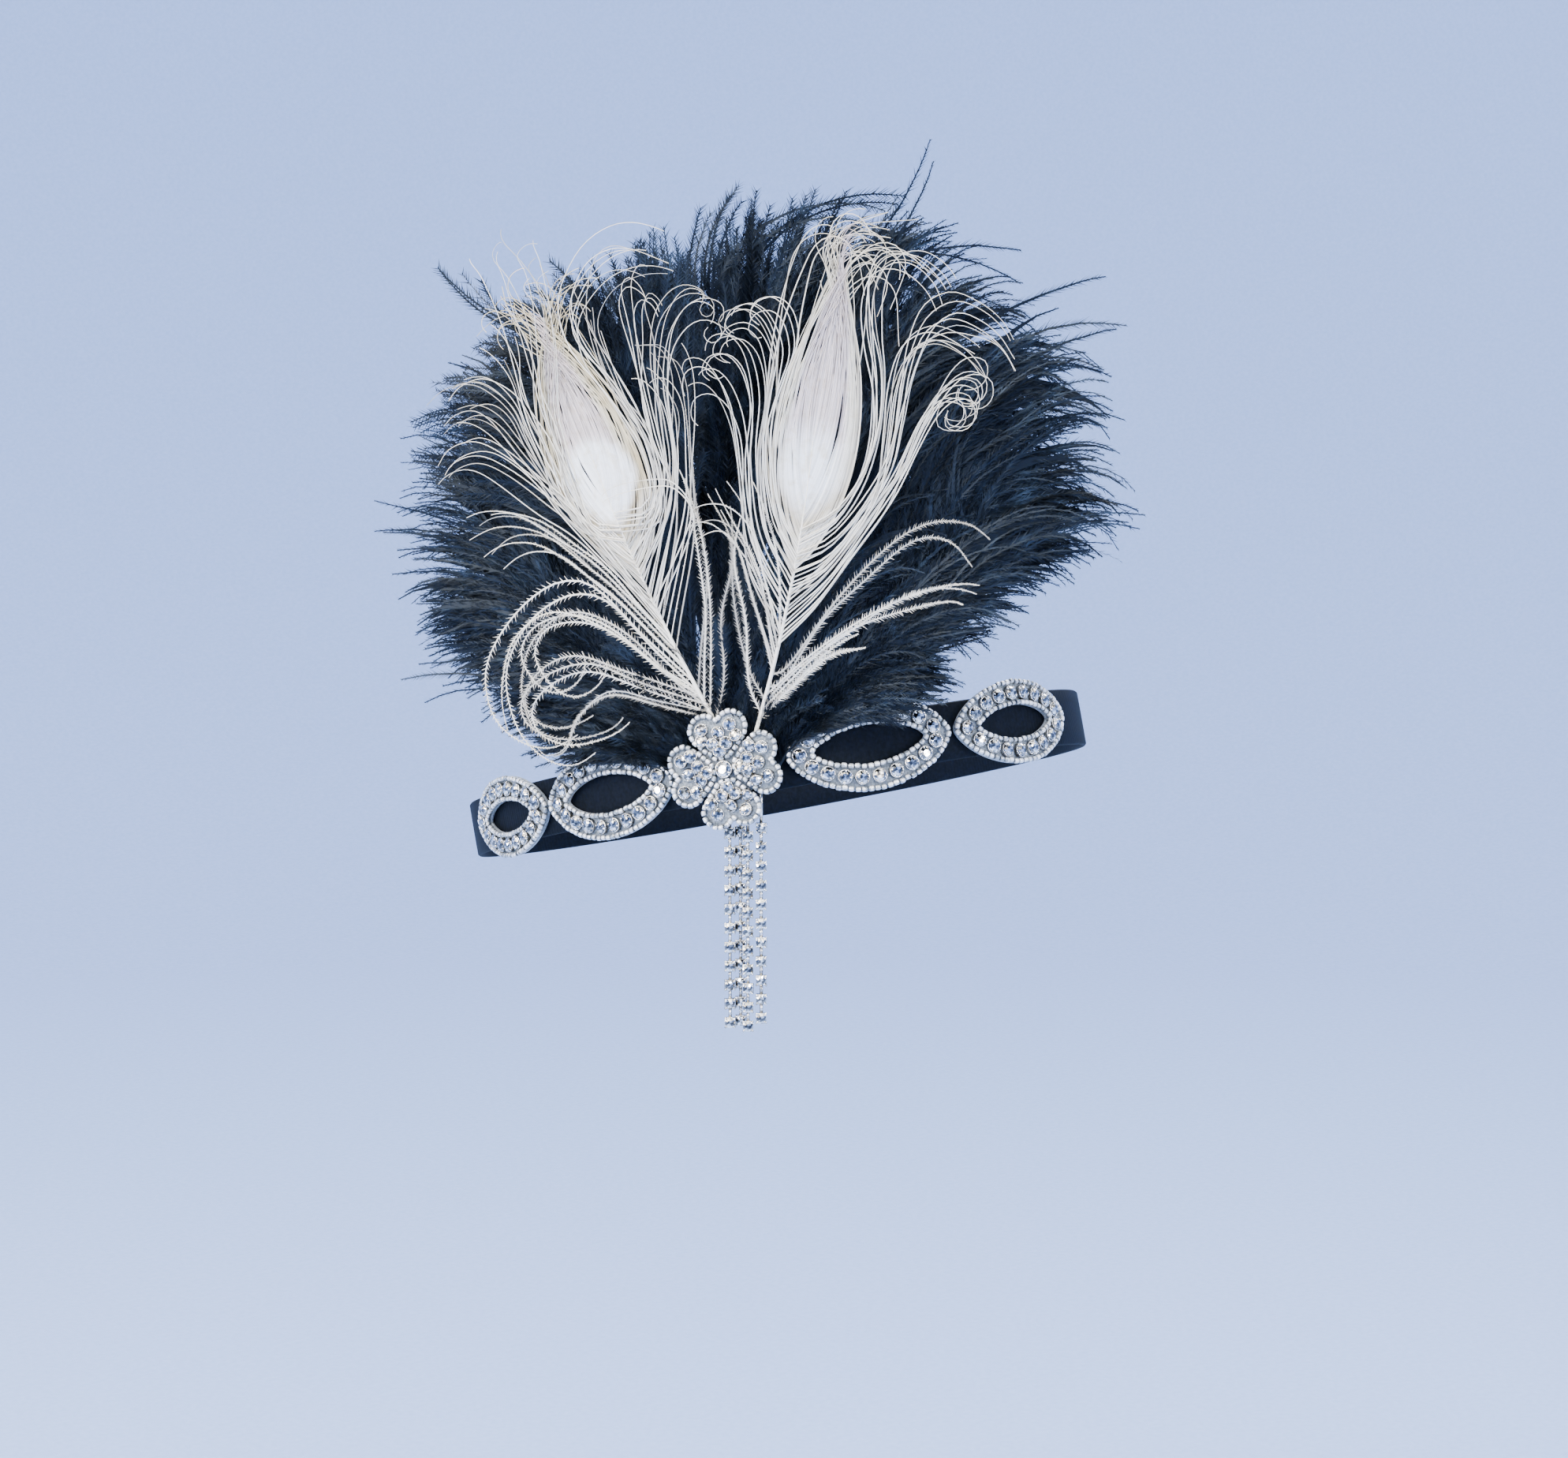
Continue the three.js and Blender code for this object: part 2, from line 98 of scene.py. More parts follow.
def unit(vectors):
    return vectors / np.maximum(np.linalg.norm(vectors, axis=-1, keepdims=True), 1e-9)


yaw = math.radians(fan["yaw"])
fanOut = np.array([-math.sin(yaw), -math.cos(yaw), 0])
fanAcross = np.array([math.cos(yaw), -math.sin(yaw), 0])
fanUp = np.array([0, 0, 1.0])
fanOrigin = onLoop(0, 0, 0)
wall = np.cross(onLoop(1, 0, 0) - onLoop(-1, 0, 0), onLoop(0, 1, 0) - onLoop(0, -1, 0))
wallSlope = -wall @ fanAcross / (wall @ fanOut), -wall @ fanUp / (wall @ fanOut)


def layerDepth(radius):
    return fan["layerStep"] * np.maximum(0, radius - fan["start"])


def inFan(points, layer, rise, lift):
    # points are across and up from the brooch's centre; lift is the distance from the layer's middle
    across, up = points[..., 0], points[..., 1]
    radius = np.hypot(across, up)
    flat = np.minimum(1, fan["start"] / np.maximum(radius, 1e-6))
    out = flat * (wallSlope[0] * across + wallSlope[1] * up) + rise + layer * layerDepth(radius)
    out = out + fan["lean"] * np.maximum(0, radius - fan["start"]) + lift
    out = out + (1 - flat) * (fan["turn"] * across - across**2 / (2 * fan["wrap"]))
    return fanOrigin + across[..., None] * fanAcross + up[..., None] * fanUp + out[..., None] * fanOut


quillRise = stack["seat"] + stack["quill"] / 2
frontQuillRise = quillRise + stack["quill"] + stack["seat"]
broochSeat = frontQuillRise + stack["quill"] / 2 + stack["seat"]
broochX = unit(onLoop(1, 0, 0) - onLoop(-1, 0, 0))
broochY = pitched(np.array([0, 0, 1.0]))
broochZ = np.cross(broochX, broochY)


def onBrooch(x, y, z):
    x, y, z = np.broadcast_arrays(*(np.asarray(value, float) for value in (x, y, z)))
    return fanOrigin + x[..., None] * broochX + y[..., None] * broochY + z[..., None] * broochZ


# Meshes from arrays


def part(points, faces, material=0, smooth=True, tint=None):
    points = np.asarray(points, float).reshape(-1, 3)
    return {"points": points, "faces": [np.asarray(rows) for rows in faces], "material": material,
            "smooth": smooth, "tint": tint}


def makePiece(name, parts, materials, node):
    points = np.concatenate([item["points"] for item in parts]) * mm
    corners, totals, slots, smooth, tints = [], [], [], [], []
    offset = 0
    for item in parts:
        for rows in item["faces"]:
            corners.append((rows + offset).ravel())
            totals.append(np.full(len(rows), rows.shape[1]))
            slots.append(np.full(len(rows), item["material"]))
            smooth.append(np.full(len(rows), item["smooth"]))
        tint = item["tint"] if item["tint"] is not None else np.ones((len(item["points"]), 3))
        tints.append(np.broadcast_to(tint, (len(item["points"]), 3)))
        offset += len(item["points"])
    corners, totals = np.concatenate(corners), np.concatenate(totals)
    mesh = bpy.data.meshes.new(name)
    mesh.vertices.add(len(points))
    mesh.vertices.foreach_set("co", points.astype(np.float32).ravel())
    mesh.loops.add(len(corners))
    mesh.loops.foreach_set("vertex_index", corners.astype(np.int32))
    mesh.polygons.add(len(totals))
    mesh.polygons.foreach_set("loop_start", (np.cumsum(totals) - totals).astype(np.int32))
    mesh.polygons.foreach_set("material_index", np.concatenate(slots).astype(np.int32))
    mesh.polygons.foreach_set("use_smooth", np.concatenate(smooth))
    mesh.update(calc_edges=True)
    colour = np.ones((len(points), 4), np.float32)
    colour[:, :3] = np.concatenate(tints)
    mesh.attributes.new("tint", "FLOAT_COLOR", "POINT").data.foreach_set("color", colour.ravel())
    for material in materials:
        mesh.materials.append(material)
    piece = bpy.data.objects.new(name, mesh)
    bpy.context.scene.collection.objects.link(piece)
    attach(piece, "root")
    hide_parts(node)
    print(f"{name}: {int((totals - 2).sum())} triangles")
    return piece


def joinedName(node):
    return node.replace("_", " ").title().replace(" ", "")


def gridFaces(rows, columns, closeRows=False, closeColumns=False):
    # quads over a grid of points in row order
    shadedDown = np.arange(rows if closeRows else rows - 1)
    over = np.arange(columns if closeColumns else columns - 1)
    a, b = np.meshgrid(shadedDown, over, indexing="ij")
    nextA, nextB = (a + 1) % rows, (b + 1) % columns
    quads = np.stack([a * columns + b, a * columns + nextB, nextA * columns + nextB, nextA * columns + b], -1)
    return quads.reshape(-1, 4)


def sheet(place, rings, closed=False):
    # cloth or plate over closed flat outlines, each at its own height
    points = np.stack([place(flat[:, 0], flat[:, 1], height) for flat, height in rings], 1)
    return part(points, [gridFaces(len(points), len(rings), closeRows=True, closeColumns=closed)])


def grey(values):
    return values[:, None] * np.ones(3)


def lathe(profile, sides, turn=0.0):
    # a closed or open profile of (radius, height) turned about +Z
    angles = (np.arange(sides) + turn) / sides * 2 * math.pi
    profile = np.asarray(profile, float)
    x = np.outer(np.cos(angles), profile[:, 0])
    y = np.outer(np.sin(angles), profile[:, 0])
    z = np.broadcast_to(profile[:, 1], x.shape)
    return np.stack([x, y, z], -1).reshape(-1, 3), gridFaces(sides, len(profile), closeRows=True)


def copies(template, frames, scale=1.0):
    # one part holding a copy of the template in each frame: origin, x, y and z axes
    points = template["points"] * np.asarray(scale)[..., None, None]
    placed = frames[:, None, 0] + np.einsum("npk,nkj->npj", np.broadcast_to(
        points, (len(frames), *template["points"].shape)), frames[:, 1:])
    shift = np.arange(len(frames))[:, None, None] * len(template["points"])
    faces = [(rows[None] + shift).reshape(-1, rows.shape[1]) for rows in template["faces"]]
    tint = None if template["tint"] is None else np.tile(template["tint"], (len(frames), 1))
    return part(placed, faces, template["material"], template["smooth"], tint)


def framesOn(place, points, directions, height):
    # frames that stand on a surface at flat points, x along the flat directions
    x, y = points[:, 0], points[:, 1]
    origin = place(x, y, height)
    xAxis = unit(place(x + directions[:, 0] * 0.5, y + directions[:, 1] * 0.5, height) - origin)
    zAxis = unit(place(x, y, height + 1) - origin)
    yAxis = unit(np.cross(zAxis, xAxis))
    return np.stack([origin, unit(np.cross(yAxis, zAxis)), yAxis, zAxis], 1)


def wobbled(frames, degrees):
    # each frame tipped a little at random, as hand-set stones and beads are
    tips = np.radians(random.normal(0, degrees, (len(frames), 2)))
    z = unit(frames[:, 3] + tips[:, :1] * frames[:, 1] + tips[:, 1:] * frames[:, 2])
    x = unit(frames[:, 1] - np.sum(frames[:, 1] * z, 1, keepdims=True) * z)
    return np.stack([frames[:, 0], x, np.cross(z, x), z], 1)


def spun(frames, angles):
    cosine, sine = np.cos(angles)[:, None], np.sin(angles)[:, None]
    x, y = frames[:, 1], frames[:, 2]
    return np.stack([frames[:, 0], x * cosine + y * sine, y * cosine - x * sine, frames[:, 3]], 1)


def pointsAt(where, run, path):
    # points of a flat path, at places on its own scale
    return np.stack([np.interp(where, run, path[:, k]) for k in (0, 1)], -1)


def evenRow(outline, pitch):
    # points at equal distances along a closed flat outline, and its direction at each
    outline = np.concatenate([outline, outline[:1]])
    run = runAlong(outline)
    count = int(run[-1] // pitch)
    at = (np.arange(count) + 0.5) / count * run[-1]
    near = 0.3  # the direction is taken between points this far before and after
    ahead, behind = np.minimum(at + near, run[-1]), np.maximum(at - near, 0)
    return pointsAt(at, run, outline), unit(pointsAt(ahead, run, outline) - pointsAt(behind, run, outline))


# Materials


def linear(hexColour):
    # an sRGB hex colour as linear red, green, blue and alpha
    values = [int(hexColour[i : i + 2], 16) / 255 for i in (1, 3, 5)]
    return (*(v / 12.92 if v <= 0.04045 else ((v + 0.055) / 1.055) ** 2.4 for v in values), 1.0)


def addNode(tree, kind, settings=None, inputs=None, links=None, stops=()):
    # a node with its settings, fixed inputs, links from other nodes' outputs and, on a ramp, colour stops
    node = tree.nodes.new(kind)
    for key, value in (settings or {}).items():
        setattr(node, key, value)
    for key, value in (inputs or {}).items():
        node.inputs[key].default_value = value
    for key, (source, output) in (links or {}).items():
        tree.links.new(source.outputs[output], node.inputs[key])
    if stops:
        elements = node.color_ramp.elements
        while len(elements) < len(stops):
            elements.new(0.5)
        for element, (place, colour) in zip(elements, stops):
            element.position = place
            element.color = linear(colour) if isinstance(colour, str) else (colour, colour, colour, 1)
    return node


def newMaterial(name, settings, pattern, output, inputs, stops, tinted=True):
    # a shader coloured by a pattern through a ramp and, where it is tinted, by the mesh's own tones
    material = bpy.data.materials.new(name)
    material.use_nodes = True
    tree = material.node_tree
    shader = tree.nodes["Principled BSDF"]
    for key, value in settings.items():
        shader.inputs[key].default_value = value
    place = addNode(tree, "ShaderNodeTexCoord")
    grain = addNode(tree, pattern, inputs=inputs, links={"Vector": (place, "Object")})
    shade = addNode(tree, "ShaderNodeValToRGB", links={"Fac": (grain, output)}, stops=stops)
    colour = shade.outputs["Color"]
    if tinted:
        tone = addNode(tree, "ShaderNodeAttribute", {"attribute_name": "tint"})
        mixed = addNode(tree, "ShaderNodeMix", {"data_type": "RGBA", "blend_type": "MULTIPLY"}, {0: 1.0},
                        {6: (shade, "Color"), 7: (tone, "Color")})
        colour = mixed.outputs[2]
    tree.links.new(colour, shader.inputs["Base Color"])
    return material, tree, shader, grain


def grosgrainElastic():
    # woven polyester elastic: fine cross ribs and a low satin gloss
    material, tree, shader, weave = newMaterial(
        "grosgrainElastic",
        {"Roughness": 0.7, "IOR": 1.45, "Specular IOR Level": 0.14, "Specular Tint": linear("#B9CCE4")},
        "ShaderNodeTexNoise", "Fac", {"Scale": 1 / (0.9 * mm), "Detail": 3.0},
        [(0.3, "#05070A"), (0.7, "#0D1017")], tinted=False)
    ribTone = addNode(tree, "ShaderNodeAttribute", {"attribute_name": "tint"})
    height = addNode(tree, "ShaderNodeMath", {"operation": "MULTIPLY_ADD"}, {1: 0.25},
                     {0: (weave, "Fac"), 2: (ribTone, "Fac")})
    bump = addNode(tree, "ShaderNodeBump", inputs={"Strength": 0.6, "Distance": 0.06 * mm},
                   links={"Height": (height, "Value")})
    tree.links.new(bump.outputs["Normal"], shader.inputs["Normal"])
    return material


def foiledCrystal():
    # machine-cut lead glass with a mirror foil behind it: each facet flashes like a small mirror
    return newMaterial(
        "foiledCrystal",
        {"Metallic": 1.0, "Roughness": 0.045, "Coat Weight": 1.0, "Coat Roughness": 0.01, "Coat IOR": 1.6},
        "ShaderNodeTexVoronoi", "Color", {"Scale": 1 / (0.8 * mm)}, [(0.2, "#86837C"), (0.45, "#FFFAEF")])[0]


def silverPlate():
    # stamped brass cups with bright silver plating, a little rubbed
    material, tree, shader, wear = newMaterial(
        "silverPlate", {"Metallic": 1.0, "Roughness": 0.2}, "ShaderNodeTexNoise", "Fac",
        {"Scale": 1 / (1.6 * mm), "Detail": 4.0}, [(0.3, "#7F7C76"), (0.6, "#F7F2E8")])
    gloss = addNode(tree, "ShaderNodeValToRGB", links={"Fac": (wear, "Fac")},
                    stops=[(0.3, 0.32), (0.7, 0.14)])
    tree.links.new(gloss.outputs["Color"], shader.inputs["Roughness"])
    return material


def silverLinedGlass():
    # clear seed beads with a silvered hole: pale, watery white with a hard highlight
    return newMaterial(
        "silverLinedGlass",
        {"Metallic": 0.35, "Roughness": 0.13, "IOR": 1.52, "Coat Weight": 1.0, "Coat Roughness": 0.03},
        "ShaderNodeTexVoronoi", "Color", {"Scale": 1 / (1.7 * mm)},
        [(0.2, "#929A9E"), (0.5, "#EEEFEC"), (0.8, "#FFFDF8")])[0]


def stiffenedTulle():
    # grey stiffened cloth that the trim is sewn on: matt, with a fine grain
    material, tree, shader, grain = newMaterial(
        "stiffenedTulle", {"Roughness": 0.8, "Sheen Weight": 0.2}, "ShaderNodeTexNoise", "Fac",
        {"Scale": 1 / (0.5 * mm), "Detail": 2.0}, [(0.3, "#50575D"), (0.7, "#929A9F")], tinted=False)
    bump = addNode(tree, "ShaderNodeBump", inputs={"Strength": 0.5, "Distance": 0.1 * mm},
                   links={"Height": (grain, "Fac")})
    tree.links.new(bump.outputs["Normal"], shader.inputs["Normal"])
    return material


def dyedOstrich():
    # ostrich barbs dyed black: nearly no gloss, with a cold slate sheen where they turn
    return newMaterial(
        "dyedOstrich",
        {"Roughness": 0.4, "IOR": 1.5, "Specular IOR Level": 0.3, "Specular Tint": linear("#B9CCE4"),
         "Sheen Weight": 0.05, "Sheen Roughness": 0.35, "Sheen Tint": linear("#7F97B4")},
        "ShaderNodeTexNoise", "Fac", {"Scale": 1 / (6 * mm), "Detail": 3.0},
        [(0.3, "#06080B"), (0.55, "#0D1218"), (0.75, "#1A232D")])[0]


def bleachedPeacock():
    # bleached peacock barbs: warm ivory with white in the eye, silky along each barb
    return newMaterial(
        "bleachedPeacock", {"Roughness": 0.46, "IOR": 1.55, "Sheen Weight": 0.3, "Sheen Roughness": 0.4},
        "ShaderNodeTexNoise", "Fac", {"Scale": 1 / (2.2 * mm), "Detail": 3.0},
        [(0.25, "#EDE6D8"), (0.5, "#FFFFFF")])[0]


elastic, crystal, silver = grosgrainElastic(), foiledCrystal(), silverPlate()
beadGlass, tulle, ostrich, peacock = silverLinedGlass(), stiffenedTulle(), dyedOstrich(), bleachedPeacock()
trimMaterials = [tulle, silver, crystal, beadGlass]
print("materials made")


# Stones, cups and beads, each made once and then copied

gem = {"radius": 1.0, "table": 0.55, "middle": 0.78, "middleHeight": 0.3, "height": 0.46, "waist": 0.12}
cup = {"outside": 1.2, "inside": 1.0, "depth": 0.78, "lip": 0.06, "prongs": 4, "prongWidth": 0.34}
bead = {
    "radius": 0.7, "hole": 0.28, "length": 1.45, "sides": 12,
    "wander": 0.07, "tip": 6, "sizes": (0.93, 1.05),  # how unevenly they are sewn on
}


def gemTemplate():
    # brilliant crown of radius 1: table, stars, kites and girdle facets, on a short waist at z = 0
    eighth = np.arange(8) * math.pi / 4
    ring = lambda radius, height, turn: np.stack(
        [radius * np.cos(eighth + turn), radius * np.sin(eighth + turn), np.full(8, height)], 1)
    top = ring(gem["table"], gem["height"], 0)
    middle = ring(gem["middle"], gem["middleHeight"], math.pi / 8)
    corner = ring(gem["radius"], gem["waist"], 0)
    girdle = ring(gem["radius"], gem["waist"], math.pi / 8)
    foot = ring(gem["radius"] * 0.97, -0.2, 0)
    centre = np.array([[0, 0, gem["height"]]])
    i, after, before = np.arange(8), (np.arange(8) + 1) % 8, (np.arange(8) - 1) % 8
    points = np.concatenate([top, middle, corner, girdle, foot, centre])
    # each facet has corners and a tone of its own, light or dark: painted reflections of bright and dark
    # surroundings
    facets = [
        (np.stack([i, after, np.full(8, 40)], 1), (1.0, 1.0, 0.1, 0.06, 1.0, 0.8, 0.25, 0.1)),
        (np.stack([i, 8 + i, after], 1), (1.0, 0.9, 0.2, 0.1)),
        (np.stack([i, 8 + before, 16 + i, 8 + i], 1), (0.15, 1.0, 1.0, 0.3)),
        (np.stack([8 + i, 16 + i, 24 + i], 1), (1.0, 1.0, 0.2, 0.5)),
        (np.stack([8 + i, 24 + i, 16 + after], 1), (0.15, 1.0, 0.8)),
        (np.stack([16 + i, 32 + i, 32 + after, 16 + after], 1), (0.3,)),
    ]
    corners, faces, paintedReflections, offset = [], [], [], 0
    for rows, cycle in facets:
        corners.append(points[rows.ravel()])
        faces.append(np.arange(rows.size).reshape(rows.shape) + offset)
        paintedReflections.append(np.repeat(np.resize(cycle, len(rows)), rows.shape[1]))
        offset += rows.size
    return part(np.concatenate(corners), faces, material=2, smooth=False, tint=grey(np.concatenate(paintedReflections)))


def cupTemplate(sides, corner=1.0):
    # a stamped cup round a stone of radius 1, with prongs bent over the stone's edge
    outside, inside = cup["outside"] * corner, cup["inside"]
    profile = [(0.05, -cup["depth"]), (outside * 0.9, -cup["depth"]), (outside, -cup["depth"] + 0.1),
               (outside, -cup["lip"]), (outside - 0.06, 0.02), (inside, 0.0), (inside, -0.2)]
    points, faces = lathe(profile, sides, 0.5)
    allPoints, allFaces = [points], [faces]
    offset = len(points)
    # radius and height round a prong's section, and how far it has narrowed there
    section = np.array([(outside - 0.02, -0.3), (outside + 0.03, 0.05), (outside - 0.07, 0.22),
                        (inside - 0.2, 0.34), (inside - 0.24, 0.26), (inside - 0.02, 0.1)])
    narrow = np.array([1, 1, 0.85, 0.5, 0.5, 0.9])
    for k in range(cup["prongs"]):
        angle = (k + 0.5) / cup["prongs"] * 2 * math.pi
        along = np.array([math.cos(angle), math.sin(angle)])
        across = np.array([-along[1], along[0]]) * cup["prongWidth"] / 2
        for side in (-1, 1):
            flat = section[:, :1] * along + side * narrow[:, None] * across
            allPoints.append(np.column_stack([flat, section[:, 1]]))
        i = np.arange(6)
        allFaces.append(np.stack([i, i + 6, (i + 1) % 6 + 6, (i + 1) % 6], 1) + offset)
        allFaces.append(np.array([[0, 1, 4, 5], [1, 2, 3, 4], [11, 10, 7, 6], [10, 9, 8, 7]]) + offset)
        offset += 12
    points = np.concatenate(allPoints)
    # painted shade: dark low on the cup's sides, bright at the claws
    depth = np.clip((points[:, 2] + cup["depth"]) / cup["depth"], 0, 1)
    return part(points, allFaces, material=1, tint=grey(0.14 + 0.86 * depth**2))


def beadTemplate():
    # a round-cut seed bead lying along +X, with a rounded rim at each end
    half, radius, hole = bead["length"] / 2, bead["radius"], bead["hole"]
    profile = [(hole, -half), (radius * 0.8, -half), (radius, -half * 0.55), (radius, half * 0.55),
               (radius * 0.8, half), (hole, half)]
    points, _ = lathe(profile, bead["sides"])
    faces = gridFaces(bead["sides"], len(profile), closeRows=True, closeColumns=True)
    points = points[:, [2, 0, 1]]
    # painted highlight: a bright line along the top of each bead, standing for the silvered hole seen through
    # the glass, between sides darkened as painted shade
    paintedHighlight = np.clip(points[:, 2] / radius, 0, 1) ** 3
    # painted shade: each bead's ends are darkened, as in the gaps between beads
    gap = 1 - 0.5 * (np.abs(points[:, 0]) > half * 0.9)
    return part(points, [faces], material=3, tint=grey((0.55 + 0.45 * paintedHighlight) * gap))


gemShape, beadShape = gemTemplate(), beadTemplate()
cupShape, squareCup = cupTemplate(16), cupTemplate(4, 1.18)  # round on the trim, square on the chains


def setStones(frames, radius, tip=5.0):
    # stones in their cups, the girdle at each frame's origin
    frames = wobbled(spun(frames, random.uniform(0, math.pi / 4, len(frames))), tip)
    return [copies(shape, frames, np.full(len(frames), radius)) for shape in (gemShape, cupShape)]


def beadRow(place, outline, pitch, height):
    # a row of seed beads couched along a closed outline
    points, directions = evenRow(outline, pitch)
    points = points + random.normal(0, bead["wander"], points.shape)
    frames = wobbled(framesOn(place, points, directions, height), bead["tip"])
    return copies(beadShape, frames, random.uniform(*bead["sizes"], len(frames)))


# Band

bandLook = {
    "sections": 900,  # a rib at every second one: coarser than real grosgrain, so that it shows
    "round": 0.45, "crown": 0.04, "grooveTone": 0.35,
}


def makeBand():
    half, thick, soft, crown = loop["height"] / 2, loop["thickness"], bandLook["round"], bandLook["crown"]
    profile = np.array([(-half, -thick + soft), (-half + soft, -thick), (0, -thick), (half - soft, -thick),
                        (half, -thick + soft), (half, -soft), (half - soft, 0),
                        (half / 2, crown * 0.75), (0, crown), (-half / 2, crown * 0.75),
                        (-half + soft, 0), (-half, -soft)])
    along = np.arange(bandLook["sections"]) / bandLook["sections"] * loopLength
    points = onLoop(along[:, None], profile[None, :, 0], profile[None, :, 1])
    rib = np.where(np.arange(bandLook["sections"]) % 2, 1.0, bandLook["grooveTone"])
    faces = gridFaces(bandLook["sections"], len(profile), closeRows=True, closeColumns=True)
    ribs = part(points, [faces], tint=grey(np.repeat(rib, len(profile))))
    makePiece("elasticBand", [ribs], [elastic], "band")


makeBand()


# Leaf trim

leafTrim = {
    "near": {"length": 43.5, "height": 24.5, "holeLength": 28.0, "holeHeight": 9.2},
    "far": {"length": 41.0, "height": 22.5, "holeLength": 25.0, "holeHeight": 8.0},
    "gap": 0.6,  # to its neighbour
    "tip": 1.35,  # how pointed its ends are
    "stonePitch": 4.35,
    "stoneRadius": 1.62,
    "beadPitch": 1.62,
    "beadInset": 0.85,  # from the leaf's edge to the middle of its bead row
    "clothInset": 0.4,
    "stoneRise": 1.25, "beadRise": 0.75,  # above the backing
}
broochShape = {
    "petals": 4,
    "lobeRing": 10.4,
    "lobeRadius": 4.4,
    "hem": 0.7,  # the backing ends this far inside the lobes
    "lobeAngle": 19.0,
    "overhang": 1.07,  # beads and stones stand a little past the flower's backing
    "hubRadius": 9.0,
    "core": 8.0,  # the petal's backing swells towards this radius
    "stoneRadius": 1.46, "stoneRise": 1.45, "stoneTip": 13,
    "wander": 0.14, "levels": (-0.3, 0.4),  # stones lie unevenly, across the petal and in height
    "centreRadius": 1.9, "centreRise": 1.6,
    "beadPitch": 1.6, "beadRise": 0.55,
    # shares of ring and angle
    "stones": [(1.06, 1), (1.06, -1), (0.86, 0), (0.84, 1.6), (0.84, -1.6), (0.62, 0.8), (0.62, -0.8),
               (0.42, 0)],
}


def leafOutline(length, height, count=240):
    turn = np.arange(count) / count * 2 * math.pi
    sine = np.sin(turn)
    rise = np.sign(sine) * np.abs(sine) ** leafTrim["tip"]
    return np.stack([length / 2 * np.cos(turn), height / 2 * rise], 1)


def makeLeaf(node, size, along):
    place = lambda x, y, z: onLoop(along + x, y, z)
    low, high = stack["seat"], stack["seat"] + stack["backing"]
    hem, inset = 2 * leafTrim["clothInset"], 2 * leafTrim["beadInset"]
    outer = leafOutline(size["length"] - hem, size["height"] - hem)
    inner = leafOutline(size["holeLength"] + hem, size["holeHeight"] + hem)
    rings = [(outer, low + 0.2), (outer, high - 0.1), (outer * 0.6 + inner * 0.4, high + 0.05),
             (outer * 0.4 + inner * 0.6, high + 0.05), (inner, high - 0.1), (inner, low + 0.2)]
    parts = [sheet(place, rings, closed=True)]
    middle = leafOutline((size["length"] + size["holeLength"]) / 2, (size["height"] + size["holeHeight"]) / 2)
    stones, directions = evenRow(middle, leafTrim["stonePitch"])
    seats = framesOn(place, stones, directions, high + leafTrim["stoneRise"])
    parts += setStones(seats, leafTrim["stoneRadius"])
    for outline in (leafOutline(size["length"] - inset, size["height"] - inset),
                    leafOutline(size["holeLength"] + inset, size["holeHeight"] + inset)):
        parts.append(beadRow(place, outline, leafTrim["beadPitch"], high + leafTrim["beadRise"]))
    makePiece(joinedName(node) + "Trim", parts, trimMaterials, node)


broochReach = (broochShape["lobeRing"] * math.cos(math.radians(broochShape["lobeAngle"]))
               + broochShape["lobeRadius"])
nearAlong = broochReach + leafTrim["gap"] + leafTrim["near"]["length"] / 2
farAlong = nearAlong + leafTrim["near"]["length"] / 2 + leafTrim["gap"] + leafTrim["far"]["length"] / 2
for side, word in ((-1, "left"), (1, "right")):
    makeLeaf("near_leaf_" + word, leafTrim["near"], side * nearAlong)
    makeLeaf("far_leaf_" + word, leafTrim["far"], side * farAlong)


# Brooch


def petalOutline():
    # one heart-shaped petal about +X: two lobes, and straight sides that narrow to the centre
    ring, radius = broochShape["lobeRing"], broochShape["lobeRadius"] - broochShape["hem"]
    angles = np.radians(np.linspace(-40, 40, 60))
    reach = []
    for angle in angles:
        off = np.radians(broochShape["lobeAngle"]) - abs(angle)
        inside = max(radius**2 - (ring * math.sin(off)) ** 2, 0.0)
        reach.append(ring * math.cos(off) + math.sqrt(inside))
    arc = np.stack([np.array(reach) * np.cos(angles), np.array(reach) * np.sin(angles)], 1)
    foot = np.array([[2.9, 1.7], [2.6, 0.0], [2.9, -1.7]])
    return np.concatenate([arc, foot])


def turned(points, angle):
    cosine, sine = math.cos(angle), math.sin(angle)
    return points @ np.array([[cosine, sine], [-sine, cosine]])


